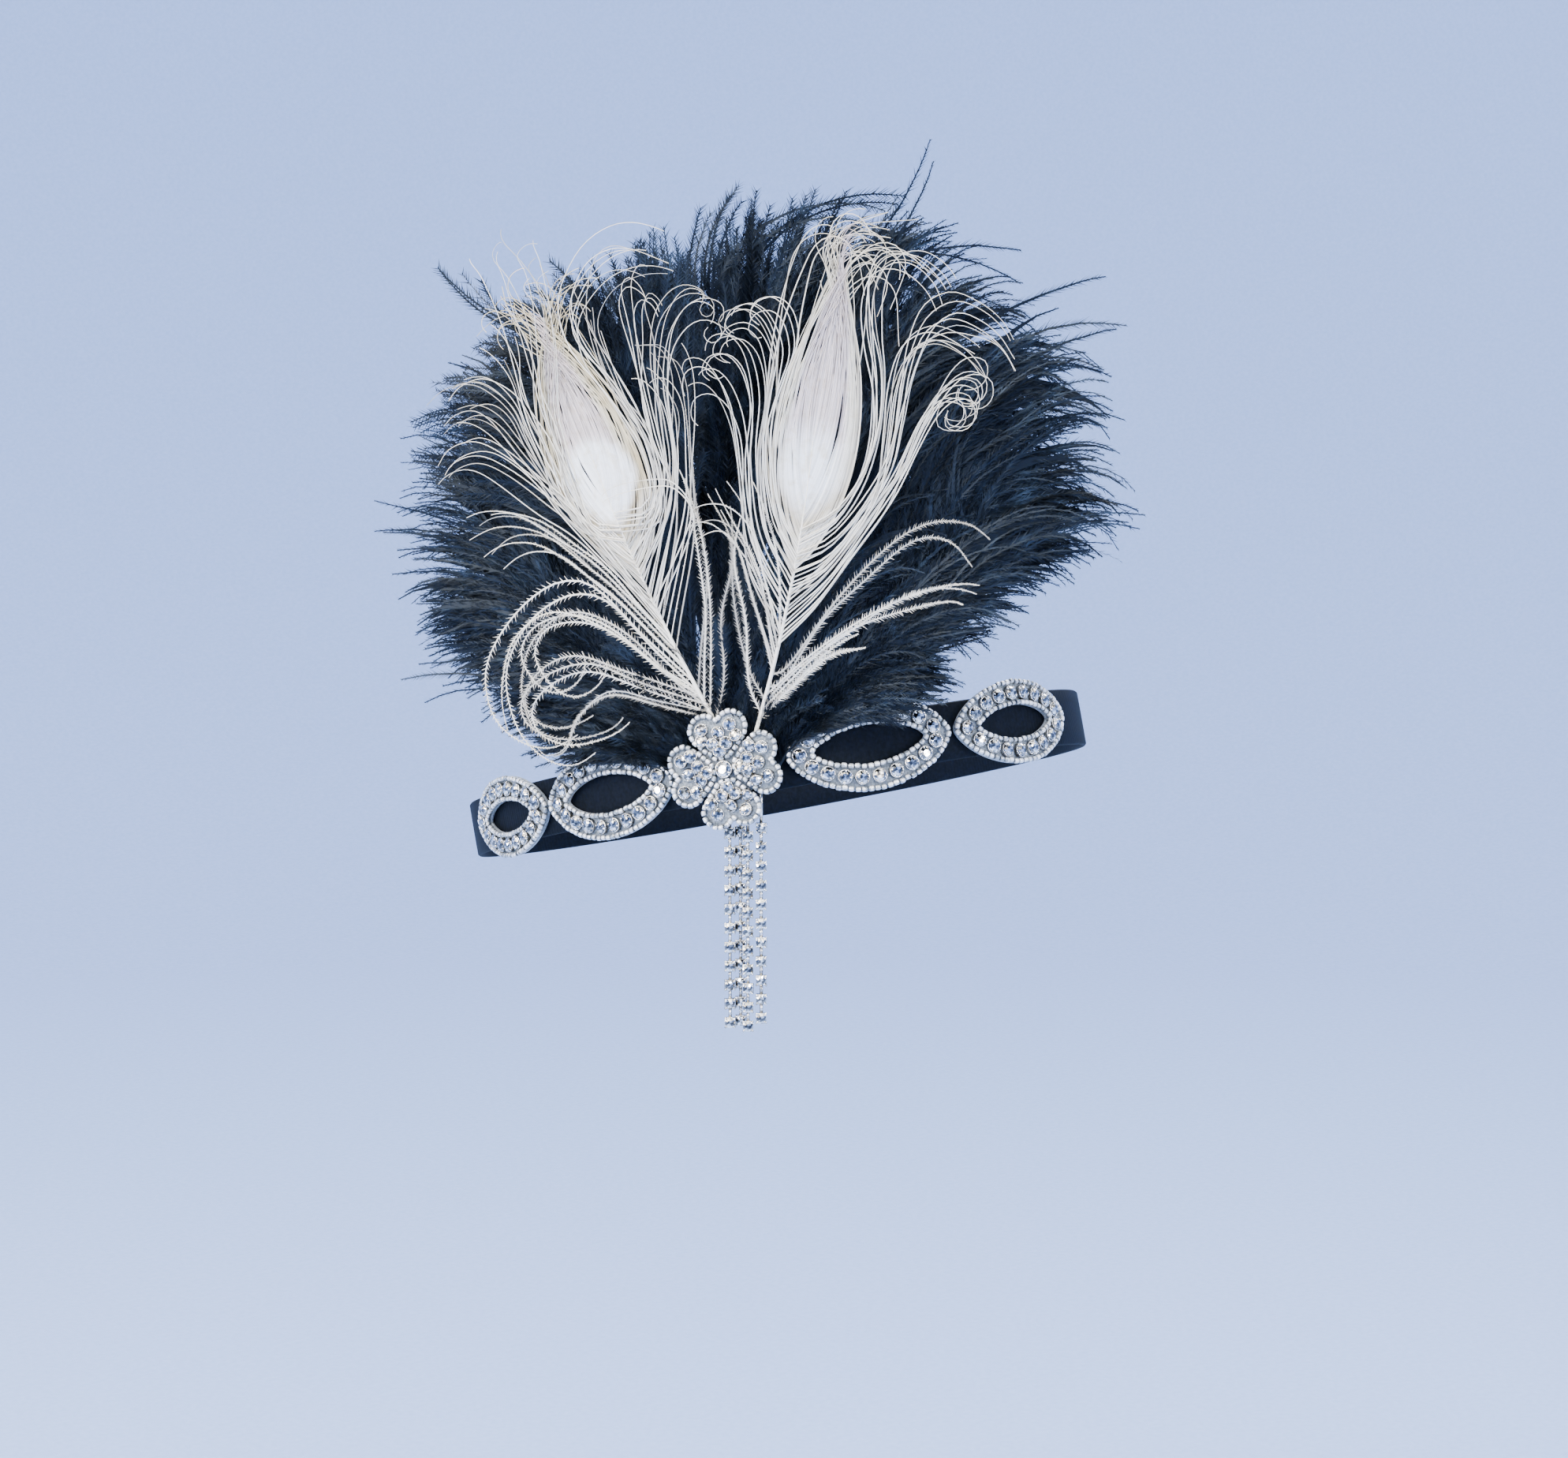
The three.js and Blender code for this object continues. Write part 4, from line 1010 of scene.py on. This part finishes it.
# Bundles of open barbs: depth of the first and last root below the eye's middle, how the first and last
# tip lie apart, how fluffy and how wild the barbs are, how far the bundle lies over the others, and the
# places in the fan that its middle barb passes after it has left the stem.
bundleColumns = ("depth", "count", "apart", "fuzz", "wild", "over", "points")
bundles = {
    "peacock_left": table(
        bundleColumns,
        ((40, 52), 7, (7, -10), 1.1, 1.2, 0.4, [(-30, 46), (-38.5, 52.5), (-47, 59), (-53.5, 61), (-60, 60),
         (-67, 55.5)]),
        ((34, 42), 6, (-1, -10), 0.55, 1, 0.4, [(-38.5, 61), (-49, 69.5), (-59, 76.5), (-67, 79.5),
         (-74, 77), (-78, 71)]),
        ((26, 35), 6, (-2, -8), 0.45, 1, 0.4, [(-42, 65), (-49, 74), (-54.5, 81), (-60, 87.5), (-66, 90.5),
         (-72.5, 89), (-77, 85)]),
        ((20, 27), 5, (-3, -6), 0.4, 1, 0.4, [(-40, 65), (-47, 75), (-52.5, 85), (-55.5, 92), (-60, 97),
         (-65, 99.5), (-71.5, 98), (-77, 93)]),
        ((15, 22), 7, (-9, -7), 0.35, 1.6, 0.4, [(-41.5, 68), (-45.5, 80), (-50.5, 92), (-53.5, 102.5),
         (-58, 110), (-63, 114)]),
        ((9, 15), 9, (-6, -8), 0.25, 2.6, 0.4, [(-36, 62), (-42, 76), (-47, 90), (-49, 103), (-51, 113),
         (-54.5, 123), (-57, 128), (-54, 131.5), (-49, 132)]),
        ((6, 12), 8, (5, -7), 0.25, 2.2, 0.4, [(-19.5, 66), (-20, 80), (-27, 95), (-36, 107), (-39.5, 117),
         (-36.5, 126), (-31, 130.5), (-24, 131), (-14, 127)]),
        ((14, 20), 6, (7, -4), 0.34, 1.4, 0.4, [(-18.5, 69), (-20.5, 84), (-28, 97), (-33, 108),
         (-36.5, 116.5), (-38.5, 121.5)]),
        ((18, 26), 6, (6, -5), 0.36, 1.4, 0.4, [(-16, 71.5), (-18, 84.5), (-21, 97), (-23, 108),
         (-24.5, 118.5), (-22.5, 123), (-19, 121.5), (-16.5, 117)]),
        ((24, 34), 6, (5, -6), 0.4, 1, 0.4, [(-15, 72), (-15.5, 86), (-17.5, 99.5), (-16.5, 111),
         (-13, 117.5), (-8.5, 120), (-4, 118.5), (-4, 115), (-6.5, 114), (-8, 116), (-6.5, 118)]),
        ((28, 37), 5, (4, -7), 0.45, 1.3, 0.4, [(-13.5, 68), (-13, 84.5), (-14, 95), (-17.5, 101),
         (-21.5, 102.5), (-25.5, 100)]),
        ((35, 46), 4, (3, -9), 0.6, 1.3, 0.4, [(-11, 62), (-10, 78), (-9.5, 92), (-10.5, 102), (-14, 108.5),
         (-20, 109)]),
        ((55, 65), 3, (5, -10), 1.5, 1.2, 0.4, [(-6.5, 25), (-6, 45), (-8.5, 66), (-12, 82)]),
        ((64, 67), 1, (0, 0), 1.6, 1.2, 0.4, [(-2.2, 22), (-1.4, 36), (-2, 60), (-5, 76)]),
        ((30, 35), 2, (2, -6), 0.5, 1, 2.2, [(-12, 58), (-10, 66), (-13.5, 72), (-18, 74), (-27, 72.5),
         (-33.5, 69), (-36, 64.5)]),
        ((52, 60), 2, (6, -5), 1.9, 1.4, 0.4, [(-20, 32), (-32, 45), (-41, 47), (-50, 42), (-57, 33),
         (-60, 23), (-57, 12), (-50, 6), (-42, 5), (-34, 10)]),
        ((58, 64), 3, (3, -3), 1.9, 2.2, 0.4, [(-25, 22), (-38, 26), (-47, 23), (-53, 16), (-52, 9),
         (-45, 6), (-36, 9), (-30, 15)]),
        ((55, 60), 2, (4, -2), 1.7, 1.2, 0.4, [(-18, 25), (-30, 34), (-40, 37), (-50, 34), (-54, 27),
         (-50, 20), (-44, 18), (-38, 22), (-37, 28), (-42, 33)]),
        ((56, 63), 2, (5, -3), 1.8, 1.6, 0.4, [(-16, 24), (-30, 36), (-44, 41), (-55, 34), (-59, 22),
         (-57, 12), (-52, 7)]),
        ((62, 66), 2, (3, -3), 1.4, 1.4, 0.4, [(-18, 17), (-30, 20), (-38, 14), (-42, 6), (-47, 4),
         (-50, 7)])),
    "peacock_right": table(
        bundleColumns,
        ((16, 26), 8, (-9, -6), 0.38, 1, 0.4, [(11, 66), (9.5, 84), (12, 99), (13.5, 108), (11, 116),
         (7, 119.5), (2.5, 118.5), (1, 115), (3.5, 113), (6, 115)]),
        ((24, 34), 6, (-4, -6), 0.42, 1, 0.4, [(8, 62), (6, 80), (7, 94), (5, 104), (1, 108.5), (-3.5, 108),
         (-5, 104.5), (-2, 102.5), (0.5, 103.5)]),
        ((32, 42), 5, (-3, -8), 0.5, 1, 0.4, [(5.5, 55), (3.5, 70), (2.5, 82), (1, 91), (-2, 98),
         (-6, 101.5), (-10, 100.5), (-10.5, 96), (-7.5, 93)]),
        ((40, 52), 4, (-6, -16), 1.2, 1.3, 0.4, [(9, 46), (6, 58), (2, 68), (-3, 76)]),
        ((56, 64), 2, (5, -12), 1.6, 1.2, 0.4, [(5, 24), (2.5, 38), (0, 54), (-1, 68)]),
        ((12, 18), 7, (4, -8), 0.34, 1.4, 0.4, [(26.5, 66), (33, 76), (36.5, 88), (37, 101), (35, 113),
         (34.5, 123), (37.5, 130), (44, 130.5), (50.5, 125.5), (54.5, 118)]),
        ((18, 30), 11, (-6, -10), 0.38, 1.3, 0.4, [(24.5, 56), (33, 66.5), (39, 78), (41, 91),
         (42.5, 102.5), (46, 111.5), (52.5, 115), (59.5, 112.5), (65, 108), (68.5, 102)]),
        ((28, 44), 11, (-5, -7), 0.5, 1.2, 0.4, [(24, 50), (34, 64), (41.5, 76), (47, 88.5), (51.5, 96.5),
         (56, 100), (60.5, 99), (61, 95), (58.5, 92.5), (54.5, 93), (54.5, 96.5), (57, 98)]),
        ((40, 50), 4, (-2, -10), 0.8, 1, 1.5, [(8, 46), (4, 58), (-2, 64), (-9, 63), (-13, 57)]),
        ((50, 56), 2, (-5, -9), 1.9, 0.8, 0.4, [(14.5, 26), (26, 43), (38, 55), (48, 61), (57, 61),
         (63, 56)]),
        ((56, 62), 3, (-12, -4), 1.9, 0.9, 0.4, [(20, 29), (35, 40), (48, 46), (58, 48), (67, 46)]),
        ((60, 64), 2, (-4, -7), 1.9, 1, 0.4, [(16, 22), (27, 32), (37, 37)])),
}


def eyeTint(flat, eye, row, run, isOpen):
    # ivory barbs, a white disc for the eye, and a faint mauve drop above it between cream sides
    look = peacockLook
    ivory, cream, ring, white, mauve = (np.array(linear(look[key])[:3])
                                        for key in ("ivory", "cream", "ring", "white", "mauve"))
    blend = lambda low, high, share: low * (1 - share[..., None]) + high * share[..., None]
    turn = math.radians(row["axis"])
    off = flat - eye
    x = off[..., 0] * math.cos(turn) - off[..., 1] * math.sin(turn)
    y = off[..., 0] * math.sin(turn) + off[..., 1] * math.cos(turn)
    narrow = np.where(y < 0, np.clip(1 + y / look["eyePoint"], 0.3, 1), 1)  # a soft point below
    disc = np.hypot(x / (look["eyeWidth"] * narrow), y / look["eyeHeight"])
    acrossDrop = np.abs(x) / (look["dropHalf"] * np.sqrt(np.clip(1 - y / row["dropTop"], 0.02, 1)))
    inDrop = smoothStep(1.05, 0.8, acrossDrop) * smoothStep(2, 9, y)
    sideTone = smoothStep(14.5, 10, np.abs(x)) * smoothStep(-12, 4, y) * smoothStep(0.9, 1.3, acrossDrop)
    ivoryNow = blend(ivory, cream, 0.2 * smoothStep(0.5, 1.0, run) * np.ones_like(x))
    if isOpen:
        return ivoryNow, np.zeros_like(x)
    colour = blend(blend(ivoryNow, cream, row["creamed"] * (0.7 + sideTone)), mauve, 0.7 * inDrop)
    colour = blend(colour, ring, 0.9 * smoothStep(1.35, 1.08, disc) * smoothStep(9, 3, y))
    inDisc = smoothStep(1 + row["blur"], 1 - 1.5 * row["blur"], disc)
    return blend(colour, white, inDisc), inDisc


def throughPoints(points, shares):
    # a smooth curve through the points, at shares of its length
    points = np.array(points, float)
    padded = np.concatenate([2 * points[:1] - points[1:2], points, 2 * points[-1:] - points[-2:-1]])
    t = np.linspace(0, 1, 12, endpoint=False)[:, None]
    before, here, after, beyond = padded[:-3, None], padded[1:-2, None], padded[2:-1, None], padded[3:, None]
    curve = 0.5 * (2 * here + (after - before) * t + (2 * before - 5 * here + 4 * after - beyond) * t**2
                   + (3 * here - before - 3 * after + beyond) * t**3)
    curve = np.concatenate([curve.reshape(-1, 2), points[-1:]])
    run = runAlong(curve)
    return pointsAt(shares * run[-1], run, curve)


def makePeacock(row):
    look = peacockLook
    length = row["stem"] + look["pastEye"]
    stem = traced(np.array([row["foot"]]), headingRows(row["start"], row["end"], 1.0, 40), [length])[0]
    eye = alongPath(stem, (row["stem"] + look["eyeRise"]) / length)
    steps = look["steps"]
    shares = stepShares(steps, 1.5, 0.5)
    run = (shares[1:] + shares[:-1])[None] / 2
    parts = []

    def rootsAt(depth):
        return alongPath(stem, np.clip((row["stem"] - depth) / length, 0, 1))

    def lay(flat, lift, width, fuzz, isOpen):
        count = len(flat)
        radius = np.hypot(flat[..., 0], flat[..., 1])
        lift = lift[:, None] * layerDepth(radius) / layerDepth(100.0)
        lift = lift + random.normal(0, 0.8, count)[:, None] * shares[None] ** 3
        centre = inFan(flat, row["layer"], frontQuillRise, lift)
        frames = rolled(barbFrames(centre), random.normal(0, 0.25, count))
        tint, inDisc = eyeTint(flat, eye, row, shares[None], isOpen)
        dim = random.uniform(*look["tone"], count)
        # some barbs much darker: partly brownish barbs, partly painted shade as of barbs lying deeper
        dim = dim + look["darker"] * (random.uniform(0, 1, count) > 1 - look["darkBarbs"])
        tint = tint * (1 - (1 - 0.7 * inDisc[..., None]) * dim[:, None, None])
        taper = smoothStep(0.3, 1.0, shares[None])
        widths = width * (1 - 0.6 * taper) * random.uniform(0.85, 1.1, count)[:, None] * (1 + 0.6 * inDisc)
        edge = between((look["edge"], look["eyeEdge"]), inDisc)
        parts.append(ribbons(centre, frames, widths, tint, edge, look["belly"]))
        fringe = lambda s: fuzz * (0.2 + 0.8 * smoothStep(1.0, 0.4, s))
        perBarb = int(look["barbules"] * (0.75 + 0.5 * fuzz))
        thick, shade = look["barbuleWidth"] + 0.07 * fuzz, tint * (0.82 + 0.09 * fuzz)
        parts.append(barbules(centre, frames, perBarb, fringe, 26 + 10 * fuzz, thick, 0.3, shade))

    # barbs that close over the eye and meet at the drop's tip, some of them running on as hairs
    for side in (-1.0, 1.0):
        count = row["closed"]
        depth = np.linspace(-look["pastEye"], look["lowest"], count) + random.normal(0, 0.12, count)
        place = np.clip((depth + look["pastEye"]) / (look["lowest"] + look["pastEye"]), 0, 1)
        clump = random.normal(0, 1, (2, count // look["inClump"] + 1))
        clump = np.repeat(clump, look["inClump"], axis=1)[:, :count]
        stray = random.normal(0, 0.3, count) * (random.uniform(0, 1, count) > 0.9)
        opening = row["dropOpen"] * (place**0.8 - 0.03) + clump[0] * (0.5 + 1.6 * place)
        chord = (row["dropTop"] + depth) * random.normal(1.0, 0.05, count)
        reach = chord * (1 + 0.45 * np.radians(opening) ** 2 / 3)
        onward = random.uniform(*row["onward"], count) * smoothStep(0.2, 0.6, place)
        onward = onward * (random.uniform(0, 1, count) > 0.4)
        # how many mm each place on a barb lies past the drop's tip
        beyond = (run - (reach / (reach + onward))[:, None]) * (reach + onward)[:, None]
        inner = np.minimum(run * ((reach + onward) / reach)[:, None], 1)
        closing = look["closing"] + 0.05 * clump[1] + stray
        headings = row["axis"] + side * opening[:, None] * (1 - closing[:, None] * inner**0.65)
        headings = headings + smoothStep(0, 1, beyond / 20) * random.uniform(*row["sweep"], count)[:, None]
        headings = headings + smoothStep(0.4, 1.3, beyond / 18) * random.uniform(*row["hook"], count)[:, None]
        headings = headings + np.cumsum(random.normal(0, 0.4, headings.shape), 1) * run
        flat = traced(rootsAt(depth), headings, reach + onward, shares)
        lay(flat, 0.5 * (place - 0.5), look["closedWidth"], look["closedFuzz"], False)
    for item in bundles[row["node"]]:
        count, wild = item["count"], item["wild"]
        place = (np.arange(count) + 0.5) / count
        roots = rootsAt(between(item["depth"], place) + random.normal(0, 0.25, count))
        middle = roots.mean(0)
        reach = random.uniform(0.88, 1.0, (count, 1))
        guide = throughPoints([middle, *item["points"]], shares[None] * reach)
        tips = np.array(item["apart"]) * (place[:, None] - 0.5) + random.normal(0, 1.5 * wild, (count, 2))
        share = shares[None, :, None]
        wave = share * random.uniform(0.8, 1.8, (count, 1, 1)) + random.uniform(0, 1, (count, 1, 2))
        drift = random.normal(0, 1.1 * wild, (count, 1, 2)) * np.sin(2 * math.pi * wave) * share
        flat = guide + (roots - middle)[:, None] * (1 - share) + tips[:, None] * share + drift
        thick = look["openWidth"] * (1 + 0.4 * min(item["fuzz"], 1.3))
        lay(flat, item["over"] + random.uniform(0, 1.2, count), thick, item["fuzz"], True)
    thin, lower = 0.34, 24  # the stem's radius at this many points from its foot
    upper = len(stem) - lower
    radii = np.concatenate([np.linspace(stack["quill"] / 2, thin, lower), np.linspace(thin, 0.1, upper)])
    parts.append(shaft(stem, row["layer"], frontQuillRise, radii, np.array(linear(look["ivory"])[:3])))
    makePiece("bleached" + joinedName(row["node"]), parts, [peacock], row["node"])


for row in eyeFeathers:
    makePeacock(row)
print("peacock feathers made")


# Camera, at the photograph's angle

view = {"azimuth": 41.9, "elevation": 8.0, "distance": 1000.0, "aimAcross": 3.1, "aimUp": 13.4, "lens": 81.85}


def makeCamera():
    turn, rise = math.radians(view["azimuth"]), math.radians(view["elevation"])
    back = Vector((-math.sin(turn) * math.cos(rise), -math.cos(turn) * math.cos(rise), math.sin(rise)))
    right = Vector((math.cos(turn), -math.sin(turn), 0))
    aim = right * view["aimAcross"] + Vector((0, 0, view["aimUp"]))
    camera = bpy.data.objects.new("camera", bpy.data.cameras.new("camera"))
    camera.data.lens = view["lens"]
    camera.data.sensor_width = 36
    camera.data.clip_start = 0.01
    place = (aim + back * view["distance"]) * mm
    basis = Matrix((right, back.cross(right), back)).transposed().to_4x4()
    camera.matrix_world = Matrix.Translation(place) @ basis
    bpy.context.scene.collection.objects.link(camera)
    bpy.context.scene.camera = camera


makeCamera()


# A round paper cove, open at the top, soft light from above and a few small lamps for the stones

studio = {
    "floorDrop": 0.36, "flat": 1.5, "bend": 1.1, "wall": 2.6,  # metres
    "fibres": 0.3,  # flecks of the paper in each millimetre
    "worldStrength": 4.2,
}
lamps = table(  # azimuth from the face's front, elevation, distance and size in metres, watts
    ("name", "azimuth", "elevation", "distance", "size", "power", "tone"),
    ("window", -100, 30, 1.5, 0.9, 34, "#FFF4E0"),
    ("frontFill", -25, 30, 1.7, 0.8, 10, "#FFF8EC"),
    ("backRim", 110, 50, 1.4, 0.6, 18, "#F2F6FF"),
    *(("glint", azimuth, elevation, 1.2, 0.14, 6.0, "#FFFFFF") for azimuth, elevation in (
        (-112, 8), (-78, 4), (-8, 6), (28, 12), (-66, 44), (-20, 46), (-42, 76))))


def makeCove():
    sides, bendSteps = 96, 12
    turn = np.linspace(0, math.pi / 2, bendSteps)
    radius = np.concatenate([[0.001], studio["flat"] + studio["bend"] * np.sin(turn),
                             [studio["flat"] + studio["bend"]]])
    height = np.concatenate([[0], studio["bend"] * (1 - np.cos(turn)), [studio["wall"]]])
    points, faces = lathe(np.stack([radius, height - studio["floorDrop"]], 1), sides)
    mesh = bpy.data.meshes.new("paperCove")
    mesh.from_pydata(points.tolist(), [], faces.tolist())
    mesh.polygons.foreach_set("use_smooth", [True] * len(mesh.polygons))
    cove = bpy.data.objects.new("paperCove", mesh)
    bpy.context.scene.collection.objects.link(cove)
    # seamless studio paper: matt, pale blue grey, with a barely visible fibre
    mesh.materials.append(newMaterial(
        "studioPaper", {"Roughness": 0.95}, "ShaderNodeTexNoise", "Fac", {"Scale": studio["fibres"] / mm},
        [(0.3, "#98B0DB"), (0.7, "#A1B8E1")], tinted=False)[0])


def makeLights():
    world = bpy.data.worlds.new("paleStudio")
    bpy.context.scene.world = world
    world.use_nodes = True
    tree = world.node_tree
    sky = tree.nodes["Background"]
    sky.inputs["Strength"].default_value = studio["worldStrength"]
    place = addNode(tree, "ShaderNodeTexCoord")
    patches = addNode(tree, "ShaderNodeTexNoise", inputs={"Scale": 4.0, "Detail": 0.0},
                      links={"Vector": (place, "Generated")})
    panels = addNode(tree, "ShaderNodeValToRGB", links={"Fac": (patches, "Fac")},
                     stops=[(0.44, "#8792A6"), (0.52, "#FFFFFF")])
    tree.links.new(panels.outputs["Color"], sky.inputs["Color"])
    target = Vector((-0.05, -0.05, 0.06))  # metres: in the fan, above the brooch
    for lamp in lamps:
        light = bpy.data.lights.new(lamp["name"], "AREA")
        light.energy, light.size = lamp["power"], lamp["size"]
        light.color = linear(lamp["tone"])[:3]
        turn, rise = math.radians(lamp["azimuth"]), math.radians(lamp["elevation"])
        away = Vector((math.sin(turn) * math.cos(rise), -math.cos(turn) * math.cos(rise), math.sin(rise)))
        lampObject = bpy.data.objects.new(lamp["name"], light)
        lampObject.location = target + away * lamp["distance"]
        lampObject.rotation_euler = away.to_track_quat("Z", "Y").to_euler()
        bpy.context.scene.collection.objects.link(lampObject)


makeCove()
makeLights()
print("studio made")
